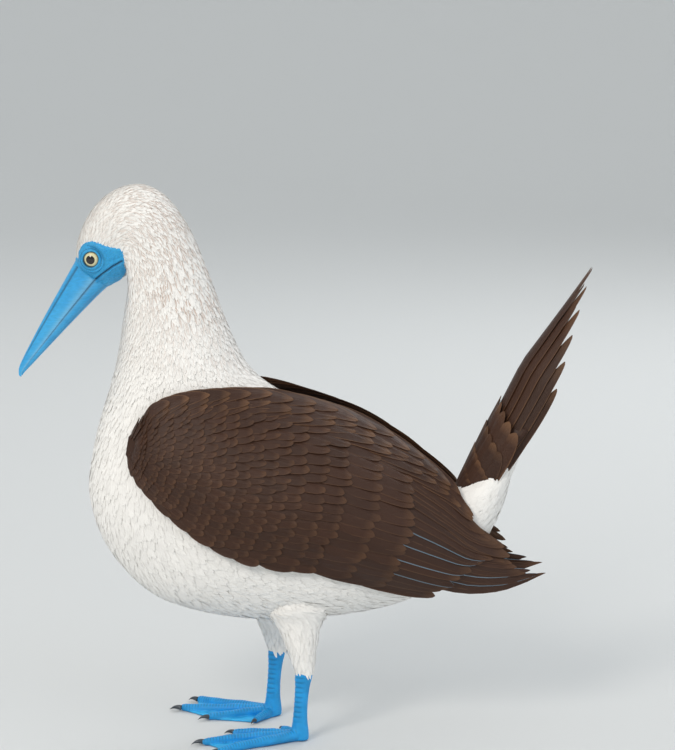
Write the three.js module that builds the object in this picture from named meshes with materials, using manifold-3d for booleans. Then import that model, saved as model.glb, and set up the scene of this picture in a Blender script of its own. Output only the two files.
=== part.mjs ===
// A standing blue-footed booby at life size, looking down, with its wings folded and its tail cocked.
// Millimetres, +Z up. The bird faces -X, its left side is -Y, and the origin is under the middle of its box.
import * as THREE from "three";
import { LoftGeometry } from "three/addons/geometries/LoftGeometry.js";
import { mergeVertices } from "three/addons/utils/BufferGeometryUtils.js";
import Module from "manifold-3d";

const wasm = await Module();
wasm.setup();

// Driving sizes of the species.
const gap = 0.3; // clearance between pieces that touch
const billLength = 105;
const billPitch = THREE.MathUtils.degToRad(52); // below the horizontal
const eyeRadius = 9;
const eyePlace = { u: 21, v: 7, y: 15.5 }; // in the head's frame below
const lidHeight = 5.6; // from the middle of the eyeball to the lids
const tailLength = 232;
const tailPitch = THREE.MathUtils.degToRad(52); // above the horizontal
const tailFeathers = 12;
const tarsusWide = 10;
const tarsusDeep = 13;
const stance = 38; // from the midline to the middle of a foot
const footTurn = THREE.MathUtils.degToRad(12); // toes turned out
const footX = { left: 2, right: -22 }; // where each tarsus meets its toes
const ankleZ = 60;
const footTop = 13; // where a tarsus parts from its foot
const clawClearance = 0.05; // the claws hang clear of the floor
const weld = 1e-3; // points nearer than this are one
const sliver = 0.02; // facets finer than this are joined

// The head's own frame: u runs forward along the bill, v up to the crown.
const headMiddle = { x: -148, z: 414 };
const headForward = new THREE.Vector3(-Math.cos(billPitch), 0, -Math.sin(billPitch));
const headUp = new THREE.Vector3(-Math.sin(billPitch), 0, Math.cos(billPitch));

// Head stations from the bill's base to the back of the skull: u, top v, underside v, half width.
const headStations = [
  [34, 17, -17, 13.5],
  [28, 21.5, -20, 18.5],
  [19, 26.5, -23.5, 23.5],
  [6, 31, -27, 27.5],
  [-8, 33, -29, 29],
  [-22, 32, -29, 28],
  [-36, 26, -26, 24],
  [-46, 16, -20, 17],
  [-51, 5, -11, 8],
];

// Neck and torso stations, nape to the tip of the under-tail coverts:
// top x, top z, underside x, underside z, half width.
const bodyStations = [
  [-156, 451, -133, 385, 24],
  [-136, 463, -138, 372, 31],
  [-112, 457, -142, 358, 31.5],
  [-90, 429, -145, 338, 32],
  [-75, 394, -150, 312, 35],
  [-63, 362, -157, 287, 40],
  [-51, 332, -165, 262, 46],
  [-38, 309, -171, 235, 53],
  [-18, 292, -174, 200, 61],
  [14, 277, -160, 158, 67.5],
  [50, 262, -126, 120, 71],
  [80, 245, -82, 103, 69.5],
  [102, 229, -26, 96, 64],
  [117, 217, 37, 100, 56],
  [127, 211, 91, 112, 46],
  [138, 212, 134, 137, 35],
  [155, 226, 166, 181, 25],
  [180, 251, 184, 247, 8],
];
const neckFrom = 3; // stations where the pieces part
const torsoFrom = 6;
const ringSides = 24;

// Folded wing stations, wrist to the tip of the longest primary:
// top x, z and half breadth, underside x, z and half breadth, half breadth between them.
const wingStations = [
  [-138, 258, 50, -140, 246, 50, 52],
  [-112, 286, 55, -124, 220, 58, 67],
  [-66, 296, 46, -84, 184, 66, 77],
  [-15, 292, 24, -38, 161, 66, 81],
  [40, 276, 15, 10, 148, 62, 81],
  [85, 250, 14, 58, 136, 55, 73],
  [120, 221, 16, 105, 124, 46, 59],
  [150, 190, 19, 140, 116, 36, 45],
  [180, 168, 21, 172, 117, 27, 33],
  [208, 145, 21, 207, 135, 21, 23],
];
const wingCover = 4; // how far the wing's skin stands off the body
const slabEnds = 0.76; // share of the wing's length with skin and bone under the feathers

const finishes = {
  white: { color: 0xf7f5ef, roughness: 0.85, metalness: 0 },
  headPale: { color: 0xf1ece2, roughness: 0.85, metalness: 0 },
  brown: { color: 0x3b2114, roughness: 0.75, metalness: 0 },
  bill: { color: 0x3f93bd, roughness: 0.4, metalness: 0 },
  face: { color: 0x2f7fa8, roughness: 0.6, metalness: 0 },
  eye: { color: 0xf2e9b8, roughness: 0.1, metalness: 0 },
  foot: { color: 0x27a5dd, roughness: 0.5, metalness: 0 },
  claw: { color: 0x3a3f45, roughness: 0.4, metalness: 0 },
};

const bird = new THREE.Group();
const point = (x, y, z) => new THREE.Vector3(x, y, z);
const mix = THREE.MathUtils.lerp;

// A closed geometry as a manifold-3d solid, facing out.
function solid(geometry) {
  const bare = new THREE.BufferGeometry();
  bare.setAttribute("position", geometry.getAttribute("position"));
  bare.setIndex(geometry.index);
  const merged = mergeVertices(bare, weld);
  const corners = merged.index.array;
  const kept = [];
  for (let i = 0; i < corners.length; i += 3) {
    const [a, b, c] = [corners[i], corners[i + 1], corners[i + 2]];
    if (a !== b && b !== c && a !== c) kept.push(a, b, c);
  }
  const vertProperties = new Float32Array(merged.attributes.position.array);
  const built = manifoldOf(vertProperties, kept);
  return built.volume() < 0 ? manifoldOf(vertProperties, kept.reverse()) : built;
}

function manifoldOf(vertProperties, corners) {
  const triVerts = new Uint32Array(corners);
  return new wasm.Manifold(new wasm.Mesh({ numProp: 3, vertProperties, triVerts }));
}

const centre = (ring) => ring.reduce((sum, at) => sum.add(at), point(0, 0, 0)).divideScalar(ring.length);

// A closed solid through rings of points. The rings run round the way that they lead.
function loft(rings) {
  const onward = centre(rings[1]).sub(centre(rings[0]));
  const turning = point(0, 0, 0);
  const middle = centre(rings[0]);
  rings[0].forEach((at, i) => {
    const next = rings[0][(i + 1) % rings[0].length];
    turning.add(at.clone().sub(middle).cross(next.clone().sub(middle)));
  });
  const ordered = turning.dot(onward) > 0 ? rings : rings.map((ring) => ring.slice().reverse());
  return solid(new LoftGeometry(ordered, { capStart: true, capEnd: true }));
}

// A thin blade through rings of three: an edge, the ridge of the shaft, the other edge.
function blade(rings) {
  const corners = [];
  rings.slice(1).forEach((_, i) => {
    const [edge, ridge, other] = [3 * i, 3 * i + 1, 3 * i + 2];
    const [nextEdge, nextRidge, nextOther] = [edge + 3, ridge + 3, other + 3];
    corners.push(edge, ridge, nextRidge, edge, nextRidge, nextEdge);
    corners.push(ridge, other, nextRidge, other, nextOther, nextRidge);
    corners.push(other, edge, nextEdge, other, nextEdge, nextOther);
  });
  const tip = 3 * (rings.length - 1);
  corners.push(0, 2, 1, tip, tip + 1, tip + 2);
  const geometry = new THREE.BufferGeometry().setFromPoints(rings.flat());
  geometry.setIndex(corners);
  return solid(geometry);
}

const joined = (pieces) => wasm.Manifold.union(pieces);

function geometryOf(shape) {
  const mesh = shape.getMesh();
  const geometry = new THREE.BufferGeometry();
  geometry.setAttribute("position", new THREE.BufferAttribute(mesh.vertProperties, 3));
  geometry.setIndex(new THREE.BufferAttribute(mesh.triVerts, 1));
  return geometry;
}

// Adds the largest closed surface of a solid to the bird as one named mesh.
function addNode(name, shape, finish, mirrored = false) {
  const bodies = shape.decompose().sort((a, b) => b.volume() - a.volume());
  const kept = bodies[0].simplify(sliver);
  const geometry = geometryOf(mirrored ? kept.mirror([0, 1, 0]) : kept);
  geometry.computeVertexNormals();
  const made = new THREE.Mesh(geometry, new THREE.MeshStandardMaterial(finishes[finish]));
  made.name = name;
  bird.add(made);
}

// Lists made by stepping a full turn, or from 0 to 1, in equal parts.
const around = (sides, make) => Array.from({ length: sides }, (_, i) => make((2 * Math.PI * i) / sides));
const spaced = (count, make) => Array.from({ length: count }, (_, i) => make(i / (count - 1), i));

// A smooth curve through one column, or two, of a station table, read by station number.
function through(stations, columns) {
  const points = stations.map((row) => point(...columns.map((c) => (c === null ? 0 : row[c]))));
  const curve = new THREE.CatmullRomCurve3(points, false, "catmullrom", 0.5);
  return (station) => curve.getPoint(THREE.MathUtils.clamp(station / (stations.length - 1), 0, 1));
}

// A ring between a top and an underside point, rounder than an ellipse, grown all round.
function ovalRing(top, under, halfWidth, grow) {
  const squareness = 0.92;
  const middle = top.clone().add(under).multiplyScalar(0.5);
  const up = top.clone().sub(under);
  const reach = up.length() / 2 + grow;
  up.normalize();
  return around(ringSides, (angle) => {
    const rise = Math.sign(Math.cos(angle)) * Math.abs(Math.cos(angle)) ** squareness;
    const out = Math.sign(Math.sin(angle)) * Math.abs(Math.sin(angle)) ** squareness;
    const ring = middle.clone().addScaledVector(up, rise * reach);
    ring.y += out * (halfWidth + grow);
    return ring;
  });
}

function headPoint(u, v, y = 0) {
  return point(headMiddle.x, y, headMiddle.z)
    .addScaledVector(headForward, u)
    .addScaledVector(headUp, v);
}

const headProfile = through(headStations, [0, 1, 2]);
const headWidth = through(headStations, [null, 3, null]);
const bodyTop = through(bodyStations, [0, null, 1]);
const bodyUnder = through(bodyStations, [2, null, 3]);
const bodyWidth = through(bodyStations, [null, 4, null]);

// A loft with a ring at each station of a table and one between.
function loftStations(stations, ring) {
  const last = stations.length - 1;
  return loft(spaced(2 * last + 1, (share) => ring(share * last)));
}

// The head and the body, grown all round by an amount.
function headSolid(grow = 0) {
  return loftStations(headStations, (station) => {
    const { x: u, y: top, z: under } = headProfile(station);
    return ovalRing(headPoint(u, top), headPoint(u, under), headWidth(station).y, grow);
  });
}

function bodySolid(grow = 0) {
  return loftStations(bodyStations, (station) =>
    ovalRing(bodyTop(station), bodyUnder(station), bodyWidth(station).y, grow),
  );
}

// The plane through a body station, facing the head.
function stationPlane(station) {
  const top = bodyTop(station);
  const across = top.clone().sub(bodyUnder(station)).normalize();
  const normal = point(-across.z, 0, across.x);
  return { normal: normal.toArray(), offset: normal.dot(top) };
}

function aheadOf(shape, station) {
  const { normal, offset } = stationPlane(station);
  return shape.trimByPlane(normal, offset + gap / 2);
}

function behind(shape, station) {
  const { normal, offset } = stationPlane(station);
  return shape.trimByPlane(normal.map((n) => -n), -offset + gap / 2);
}

// A side-view outline in the head's frame, drawn right through the head.
function headSlice(outline) {
  const halfDepth = 60;
  const shape = new THREE.Shape();
  outline.forEach(([u, v], i) => {
    const at = headPoint(u, v);
    if (i === 0) shape.moveTo(at.x, at.z);
    else shape.lineTo(at.x, at.z);
  });
  const slice = new THREE.ExtrudeGeometry(shape, { depth: 2 * halfDepth, bevelEnabled: false });
  slice.rotateX(Math.PI / 2);
  slice.translate(0, halfDepth, 0);
  return solid(slice);
}

const room = gap + 0.1; // clearance left round curved pieces
const flesh = joined([headSolid(), bodySolid()]);
const fleshGrown = joined([headSolid(room), bodySolid(room)]);

// Sets a shape made round its own Y axis at an eye, looking out and a little forward.
function atEye(geometry, side, forward = 0) {
  const axis = point(0, side, 0).addScaledVector(headForward, 0.3).addScaledVector(headUp, 0.06).normalize();
  const at = headPoint(eyePlace.u, eyePlace.v, side * eyePlace.y).addScaledVector(axis, forward);
  geometry.applyQuaternion(new THREE.Quaternion().setFromUnitVectors(point(0, 1, 0), axis));
  geometry.translate(at.x, at.y, at.z);
  return solid(geometry);
}

const eyeBall = (side, radius) => atEye(new THREE.SphereGeometry(radius, 14, 9), side);

const orbitRadius = 13.5;
const orbitFloor = -7;

// The raised ring of bare skin round an eye, with the lids at its inner edge.
function orbit(side) {
  const wall = [[0, orbitFloor], [orbitRadius, orbitFloor], [orbitRadius, 0.8]];
  const rim = [[11.6, 4.2], [8.8, lidHeight + 0.9]];
  const lid = [[7, lidHeight], [6.6, 0], [0, 0]];
  const profile = [...wall, ...rim, ...lid].map(([radius, height]) => new THREE.Vector2(radius, height));
  return atEye(new THREE.LatheGeometry(profile, 12), side);
}

// Room in the feathered head for an orbit, which belongs to the face.
function orbitRoom(side) {
  const [radius, depth] = [orbitRadius + room, 40];
  const cylinder = new THREE.CylinderGeometry(radius, radius, depth, 12);
  return atEye(cylinder, side, depth / 2 + orbitFloor - gap);
}

// Bare skin of the face: over the eye, behind the gape and down to the chin.
const faceOutline = [
  [45, 16], [30, 16.5], [25, 19.5], [19, 20], [12, 16.5], [8, 9],
  [4, 1], [-1, -8], [0, -14], [7, -19.5], [15, -22.5], [24, -23.5], [45, -23.5],
];
const mouthLine = [[36, -5], [26, -6.5], [16, -9.5], [8, -13]];

// The cut that parts the lips behind the bill.
function mouthCut() {
  const half = 0.45;
  const depth = 2.2;
  const outline = [
    ...mouthLine.map(([u, v]) => [u, v + half]),
    ...mouthLine.map(([u, v]) => [u, v - half]).reverse(),
  ];
  return headSlice(outline).subtract(headSolid(-depth));
}

const bothSides = (make) => joined([-1, 1].map(make));

function buildHead() {
  const front = aheadOf(flesh, neckFrom);
  const mask = headSlice(faceOutline);
  const maskRoom = headSlice(faceOutline.map(([u, v]) => [u - gap, v + gap * Math.sign(v)]));
  const sockets = bothSides((side) => eyeBall(side, eyeRadius + gap));
  const skin = joined([front.intersect(mask), bothSides(orbit)]).subtract(sockets).subtract(mouthCut());
  const billBase = headPoint(headStations[0][0], 0);
  const behindBill = headForward.clone().negate();
  addNode("face", skin.trimByPlane(behindBill.toArray(), behindBill.dot(billBase)), "face");
  addNode("head", front.subtract(maskRoom).subtract(bothSides(orbitRoom)), "headPale");
  addNode("eye_left", eyeBall(-1, eyeRadius), "eye");
  addNode("eye_right", eyeBall(1, eyeRadius), "eye");
}

// Bill stations from base to tip: share of the length, culmen v, mouth v, keel v, half width.
const billStations = [
  [0, 17, -5, -17, 13.5],
  [0.12, 15.2, -4.6, -15, 11.8],
  [0.3, 12.4, -4.2, -12.8, 9.4],
  [0.5, 9.2, -4, -10.6, 7.2],
  [0.7, 5.6, -3.9, -8.6, 5.2],
  [0.86, 2.4, -3.9, -7, 3.4],
  [0.95, 0, -4.4, -6, 2],
  [1, -3.6, -6.4, -6.2, 0.7],
];

// Half a bill: an arch from one mouth edge to the other, with the groove along its side.
function mandible(upper) {
  const arcSteps = 14;
  const grooveAt = 0.3 * Math.PI;
  const stations = upper ? billStations : billStations.slice(0, -1);
  const rings = stations.map(([along, culmen, mouth, keel, wide]) => {
    const u = headStations[0][0] + gap + along * billLength;
    const edge = mouth + (upper ? gap / 2 : -gap / 2);
    const height = (upper ? culmen : keel) - edge;
    const half = upper ? wide : wide * 0.93;
    return spaced(arcSteps + 1, (share) => {
      const angle = Math.PI * share;
      const fromEdge = Math.min(angle, Math.PI - angle);
      const groove = upper ? 1 - 0.07 * Math.exp(-(((fromEdge - grooveAt) / 0.16) ** 2)) : 1;
      const v = edge + height * Math.sin(angle) ** 0.85 * groove;
      return headPoint(u, v, half * Math.cos(angle) * groove);
    });
  });
  return loft(rings);
}

const fleshSurface = new THREE.MeshBasicMaterial({ side: THREE.DoubleSide });
const fleshMesh = new THREE.Mesh(geometryOf(flesh), fleshSurface);
const probe = new THREE.Raycaster();

// Half the breadth of the flesh at a point of the side view.
function fleshSide(x, z) {
  probe.set(point(x, 300, z), point(0, -1, 0));
  const [hit] = probe.intersectObject(fleshMesh);
  return hit && hit.point.y > 0 ? hit.point.y : 0;
}

const wingTop = through(wingStations, [0, 2, 1]);
const wingUnder = through(wingStations, [3, 5, 4]);
const wingBulge = through(wingStations, [null, 6, null]);

// A point of the folded right wing's skin: s runs from the wrist to the tip, v from the back down.
function wingSkin(s, v) {
  const station = s * (wingStations.length - 1);
  const top = wingTop(station);
  const under = wingUnder(station);
  const at = top.clone().lerp(under, v);
  const bulge = wingBulge(station).y - (top.y + under.y) / 2;
  at.y += bulge * 4 * v * (1 - v);
  at.y = Math.max(at.y, fleshSide(at.x, at.z) + wingCover);
  return at;
}

// The same surface as a fine grid.
const gridRows = 60;
const gridColumns = 24;
const wingGrid = spaced(gridRows + 1, (s) => spaced(gridColumns + 1, (v) => wingSkin(s, v)));

function wingAt(s, v) {
  const a = THREE.MathUtils.clamp(s, 0, 1) * gridRows;
  const b = THREE.MathUtils.clamp(v, 0, 1) * gridColumns;
  const i = Math.min(Math.floor(a), gridRows - 1);
  const j = Math.min(Math.floor(b), gridColumns - 1);
  const [near, far] = [wingGrid[i], wingGrid[i + 1]];
  const onNear = near[j].clone().lerp(near[j + 1], b - j);
  const onFar = far[j].clone().lerp(far[j + 1], b - j);
  return onNear.lerp(onFar, a - i);
}

// A point of the wing's skin, its outward direction there and the wing's breadth.
function wingFrame(s, v) {
  const [ds, dv] = [0.03, 0.06];
  const along = wingAt(s + ds, v).sub(wingAt(s - ds, v));
  const across = wingAt(s, v + dv).sub(wingAt(s, v - dv));
  const breadth = across.length() / (Math.min(v + dv, 1) - Math.max(v - dv, 0));
  const out = across.clone().cross(along).normalize();
  if (out.y < 0) out.negate();
  return { at: wingAt(s, v), out, breadth };
}

// Outlines of a vane: shares of its length, and its breadth there.
const roundTip = { at: [0, 0.45, 0.8, 0.95, 1], width: [0.55, 1, 0.88, 0.5, 0.12] };
const longTip = { at: [0, 0.35, 0.7, 0.92, 1], width: [0.5, 1, 0.86, 0.42, 0.08] };

// A feather vane: a flat, pointed blade of three-sided rings, thickest along its shaft.
// placed gives the point and outward direction at a share of the length and a distance off the shaft.
function vane(placed, { half, thick, tilt = 0, outline = roundTip }) {
  const rings = outline.at.map((t, i) => {
    const reach = half * outline.width[i];
    const shaft = placed(t, 0);
    const [near, far] = [placed(t, reach), placed(t, -reach)];
    near.at.addScaledVector(near.out, tilt * outline.width[i]);
    far.at.addScaledVector(far.out, -tilt * outline.width[i]);
    const rise = shaft.at.clone().sub(centre([near.at, far.at])).dot(shaft.out);
    const ridge = shaft.at.addScaledVector(shaft.out, thick + Math.max(0, -rise));
    return [near.at, ridge, far.at];
  });
  return blade(rings);
}

// One feather of the folded wing, from (s0, v0) to (s1, v1), rising from rootLift to tipLift.
function wingVane({ s0, v0, s1, v1, rootLift = -2.7, tipLift = 2.4, ...form }) {
  const placed = (t, across) => {
    const [s, v] = [mix(s0, s1, t), mix(v0, v1, t)];
    const { breadth } = wingFrame(s, v);
    const { at, out } = wingFrame(s, v + across / breadth);
    return { at: at.addScaledVector(out, mix(rootLift, tipLift, t ** 0.8)), out };
  };
  return vane(placed, { thick: 1.5, tilt: 1.1, ...form });
}

// Rows of coverts from the wrist back: where each row starts and ends, its feathers, their half width.
const covertRows = [
  { s0: 0.04, s1: 0.17, count: 6, half: 11 },
  { s0: 0.13, s1: 0.29, count: 6, half: 14 },
  { s0: 0.24, s1: 0.41, count: 7, half: 13 },
  { s0: 0.35, s1: 0.56, count: 7, half: 13.5 },
];

function wingCoverts() {
  return covertRows.flatMap(({ s0, s1, count, half }, row) =>
    spaced(count, (share) => {
      const v = mix(0.1, 0.93, share);
      const bow = 0.03 * Math.sin(Math.PI * v);
      const tipLift = 2.6 - 0.25 * row;
      return wingVane({ s0: s0 + bow, v0: v, s1: s1 + bow, v1: v, half, tipLift });
    }),
  );
}

// The flight feathers that show on a folded wing: secondaries, then the primaries' tips.
function wingFlight() {
  const secondaries = spaced(7, (share) => {
    const v = mix(0.14, 0.94, share);
    const s1 = mix(0.84, 0.7, share);
    return wingVane({ s0: 0.5, v0: v, s1, v1: v, half: 12, tipLift: 1.4, outline: longTip });
  });
  const primaries = spaced(6, (share) => {
    const [v0, v1] = [mix(0.3, 0.86, share), mix(0.3, 0.7, share)];
    const [s1, tipLift] = [mix(0.88, 1, share ** 0.7), mix(0.2, -3.4, share)];
    return wingVane({ s0: 0.62, v0, s1, v1, half: 9, tipLift, outline: longTip });
  });
  return [...secondaries, ...primaries];
}

// Long, pointed scapulars along the back edge of the wing.
function scapulars() {
  return spaced(4, (share) => {
    const [s0, s1] = [mix(0.2, 0.5, share), mix(0.42, 0.78, share)];
    const tipLift = mix(3.4, 2.8, share);
    return wingVane({ s0, v0: 0.1, s1, v1: 0.07, half: 12, tipLift, outline: longTip });
  });
}

// The wing's skin and bone as one closed slab under the feathers.
function wingSlab() {
  const [rows, columns] = [13, 8];
  const sunk = 1.25; // below the feathers
  const rings = spaced(rows, (share, i) => {
    const s = mix(0.004, slabEnds, share);
    const depth = mix(12, 2.6, share ** 1.5) * Math.min(1, 0.5 + i / 3);
    const lowest = 1 - 0.3 * share ** 3;
    const columnsOut = spaced(columns, (across) => {
      const { at, out } = wingFrame(s, mix(0.02, lowest, across));
      at.addScaledVector(out, -sunk * Math.min(1, i / 2));
      const taper = 0.6 + 0.4 * Math.sin(Math.PI * across) ** 0.5;
      return { outer: at, inner: at.clone().addScaledVector(out, -depth * taper) };
    });
    const outer = columnsOut.map((column) => column.outer);
    const inner = columnsOut.map((column) => column.inner).reverse();
    return [...outer, ...inner];
  });
  return loft(rings);
}

function buildWings() {
  const feathers = [...wingCoverts(), ...wingFlight(), ...scapulars()];
  const wing = joined([wingSlab(), ...feathers]).subtract(fleshGrown);
  addNode("wing_right", wing, "brown");
  addNode("wing_left", wing, "brown", true);
}

// The tail's own frame: the way its shafts run, and the way off its upper face.
const tailRoot = point(126, 0, 197);
const tailAlong = point(Math.cos(tailPitch), 0, Math.sin(tailPitch));
const tailOut = point(-Math.sin(tailPitch), 0, Math.cos(tailPitch));
const tailArch = { wide: 33, high: 42, sunk: 19 };
const tailFan = THREE.MathUtils.degToRad(78); // of its outermost feathers, from the ridge

// A point on the tail's arch: angle 0 is its ridge, and spread widens it.
function archPoint(angle, along, spread) {
  const at = tailRoot.clone().addScaledVector(tailAlong, along);
  at.y += tailArch.wide * spread * Math.sin(angle);
  return at.addScaledVector(tailOut, tailArch.high * spread * Math.cos(angle) - tailArch.sunk);
}

// A tail feather at an angle round the arch; higher layers lie deeper.
function tailVane(angle, length, half, layer) {
  const placed = (t, across) => {
    const along = t * length;
    const share = along / tailLength;
    const spread = mix(0.42, 1, Math.min(1, 1.8 * share)) * (1 - 0.12 * share);
    const turned = angle + across / (tailArch.wide * spread * 1.05);
    const at = archPoint(turned, along, spread - 0.045 * layer * Math.min(1, 3 * share));
    const out = point(0, Math.sin(turned), 0).addScaledVector(tailOut, Math.cos(turned)).normalize();
    return { at: at.addScaledVector(tailOut, 10 * share ** 2), out };
  };
  return vane(placed, { half, thick: 1.4, outline: longTip });
}

// Stations of the tail's fleshy core: share of the tail's length, spread, depth.
const tailCore = [
  [0, 0.5, 0.3],
  [0.1, 0.62, 0.26],
  [0.2, 0.72, 0.2],
  [0.3, 0.76, 0.12],
  [0.38, 0.72, 0.03],
];

function buildTail() {
  const rectrices = spaced(tailFeathers, (share, i) => {
    const rank = Math.floor(Math.abs(i - (tailFeathers - 1) / 2));
    return tailVane(mix(-tailFan, tailFan, share), tailLength - 6 - 15 * rank ** 1.15, 9, rank);
  });
  const coverts = [-42, 0, 42].map((degrees) =>
    tailVane(THREE.MathUtils.degToRad(degrees), 92 - Math.abs(degrees) / 3, 10, -1.6),
  );
  const coreRings = tailCore.map(([share, spread, depth]) => {
    const arc = (reach) =>
      spaced(8, (across) => archPoint(mix(-tailFan, tailFan, across), share * tailLength, reach));
    return [...arc(spread), ...arc(spread - depth).reverse()];
  });
  addNode("tail", joined([loft(coreRings), ...rectrices, ...coverts]).subtract(fleshGrown), "brown");
}

// Toes: outward angle in degrees, length, radius, claw length. The first points inward.
const toes = {
  first: { angle: -72, length: 30, radius: 3.2, claw: 6 },
  second: { angle: -27, length: 58, radius: 3.6, claw: 8 },
  third: { angle: -2, length: 82, radius: 4, claw: 9 },
  fourth: { angle: 20, length: 80, radius: 3.8, claw: 8 },
};

const legX = (side) => footX[side < 0 ? "left" : "right"];

// A point of a foot's plan, a distance from where the toes meet and an angle outward from ahead.
function footPoint(side, angle, distance, z) {
  const turned = THREE.MathUtils.degToRad(angle) + footTurn;
  const y = side * (stance + distance * Math.sin(turned));
  return point(legX(side) - distance * Math.cos(turned), y, z);
}

// A round tube along a path, with a radius at each of its points.
function tube(path, radii, sides = 7) {
  const rings = path.map((at, i) => {
    const ahead = path[Math.min(i + 1, path.length - 1)].clone();
    const along = ahead.sub(path[Math.max(i - 1, 0)]).normalize();
    const level = point(along.y, -along.x, 0).normalize();
    const up = level.clone().cross(along);
    return around(sides, (angle) => {
      const ring = at.clone().addScaledVector(level, radii[i] * Math.cos(angle));
      return ring.addScaledVector(up, radii[i] * Math.sin(angle));
    });
  });
  return loft(rings);
}

function toe(side, { angle, length, radius }) {
  const shares = [0, 0.3, 0.4, 0.62, 0.72, 1];
  const knuckle = [1.2, 0.98, 1.12, 0.9, 1, 0.78];
  const path = shares.map((share) => footPoint(side, angle, share * length, mix(5.4, 2.6, share)));
  return tube(path, knuckle.map((k) => k * radius));
}

function claw(side, { angle, length, radius, claw: reach }) {
  const shares = [0, 0.4, 0.75, 1];
  const path = shares.map((share) =>
    footPoint(side, angle, length + gap + share * reach, mix(2.6, 0.9, share ** 1.6)),
  );
  return tube(path, [0.74, 0.58, 0.34, 0.08].map((k) => k * radius), 6);
}

// The web between the toes, scalloped between their tips.
function web(side) {
  const thickness = 1.8;
  const flat = (at) => new THREE.Vector2(at.x, -at.y);
  const tips = Object.values(toes).map(({ angle, length }) => ({ angle, length: length - 1 }));
  const shape = new THREE.Shape();
  const heel = flat(footPoint(side, 180, 6, 0));
  shape.moveTo(heel.x, heel.y);
  tips.forEach(({ angle, length }, i) => {
    const tip = flat(footPoint(side, angle, length, 0));
    if (i === 0) {
      shape.lineTo(tip.x, tip.y);
      return;
    }
    const before = tips[i - 1];
    const reach = 0.5 * (before.length + length) * (i === 1 ? 0.78 : 0.84);
    const scallop = flat(footPoint(side, (before.angle + angle) / 2, reach, 0));
    shape.quadraticCurveTo(scallop.x, scallop.y, tip.x, tip.y);
  });
  shape.closePath();
  const sheet = new THREE.ExtrudeGeometry(shape, { depth: thickness, bevelEnabled: false, curveSegments: 5 });
  sheet.rotateX(Math.PI);
  sheet.translate(0, 0, thickness);
  return solid(sheet);
}

// Stations of a tarsus: height, and swelling at its ends.
const tarsusStations = [
  [1, 1.15],
  [8, 1.12],
  [18, 0.94],
  [32, 0.86],
  [46, 0.94],
  [54, 1.12],
  [ankleZ, 1.16],
  [ankleZ + 8, 1],
];

// Stations of the feathered shank between ankle and belly: height, radius.
const shankStations = [
  [ankleZ - 1, 7.6],
  [ankleZ + 5, 9.2],
  [73, 11.4],
  [84, 14],
  [98, 17.5],
  [118, 20],
];

// A level ring of a leg, deep along the bird and wide across it.
function legRing(x, y, z, deep, wide) {
  return around(12, (angle) => point(x + deep * Math.cos(angle), y + wide * Math.sin(angle), z));
}

function tarsus(side) {
  const lean = (z) => 4 * (z / ankleZ) ** 2;
  const rings = tarsusStations.map(([z, swell]) =>
    legRing(legX(side) + lean(z), side * stance, z, 0.5 * tarsusDeep * swell, 0.5 * tarsusWide * swell),
  );
  return loft(rings);
}

function shank(side) {
  const rings = shankStations.map(([z, radius]) => {
    const above = z - ankleZ;
    const x = legX(side) + 4 - 0.12 * above;
    return legRing(x, side * (stance - 0.05 * above), z, 1.15 * radius, 0.85 * radius);
  });
  return loft(rings);
}

function buildLeg(name, side) {
  const leg = tarsus(side);
  const up = [0, 0, 1];
  const down = [0, 0, -1];
  const feathered = shank(side).subtract(fleshGrown).trimByPlane(up, ankleZ + gap / 2);
  addNode(`shank_${name}`, feathered, "white");
  const bone = leg.trimByPlane(up, footTop + gap / 2).trimByPlane(down, gap / 2 - ankleZ);
  addNode(`tarsus_${name}`, bone, "foot");
  const meeting = leg.trimByPlane(down, gap / 2 - footTop);
  const foot = joined([meeting, web(side), ...Object.values(toes).map((one) => toe(side, one))]);
  addNode(`foot_${name}`, foot.trimByPlane(up, 0), "foot");
  for (const [order, one] of Object.entries(toes)) {
    addNode(`claw_${order}_${name}`, claw(side, one).trimByPlane(up, clawClearance), "claw");
  }
}

buildHead();
addNode("bill_upper", mandible(true), "bill");
addNode("bill_lower", mandible(false), "bill");
addNode("neck", aheadOf(behind(bodySolid(), neckFrom), torsoFrom).subtract(headSolid(gap)), "white");
addNode("torso", behind(bodySolid(), torsoFrom), "white");
buildWings();
buildTail();
buildLeg("left", -1);
buildLeg("right", 1);

// The origin goes under the middle of the bird's box.
const box = new THREE.Box3().setFromObject(bird);
const middle = box.getCenter(point(0, 0, 0));
bird.position.set(-middle.x, -middle.y, -box.min.z);

export default bird;
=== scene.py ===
import math

import bpy
import numpy as np
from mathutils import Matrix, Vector
from mathutils.bvhtree import BVHTree
from mathutils.kdtree import KDTree


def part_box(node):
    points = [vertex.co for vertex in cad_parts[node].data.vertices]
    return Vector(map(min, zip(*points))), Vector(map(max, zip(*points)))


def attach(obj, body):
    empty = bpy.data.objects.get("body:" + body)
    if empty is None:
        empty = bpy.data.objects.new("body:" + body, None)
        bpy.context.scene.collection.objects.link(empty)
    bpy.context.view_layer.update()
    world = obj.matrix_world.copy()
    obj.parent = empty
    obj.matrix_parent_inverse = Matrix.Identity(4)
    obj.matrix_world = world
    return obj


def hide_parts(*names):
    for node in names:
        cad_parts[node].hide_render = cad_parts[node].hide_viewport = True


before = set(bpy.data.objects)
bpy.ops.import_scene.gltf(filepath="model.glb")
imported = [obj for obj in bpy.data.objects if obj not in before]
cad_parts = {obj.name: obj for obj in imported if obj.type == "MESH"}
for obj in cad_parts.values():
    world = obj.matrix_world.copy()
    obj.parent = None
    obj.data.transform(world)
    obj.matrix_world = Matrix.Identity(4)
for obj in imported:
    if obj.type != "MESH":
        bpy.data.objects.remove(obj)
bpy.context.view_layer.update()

# Lengths below are in millimetres. The bird faces -X, its left side is -Y and +Z is up.
headSet = {"middle": (-148, 0, 414), "pitch": 52, "eye": (21, 7, 15.5), "billBase": 34}
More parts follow.
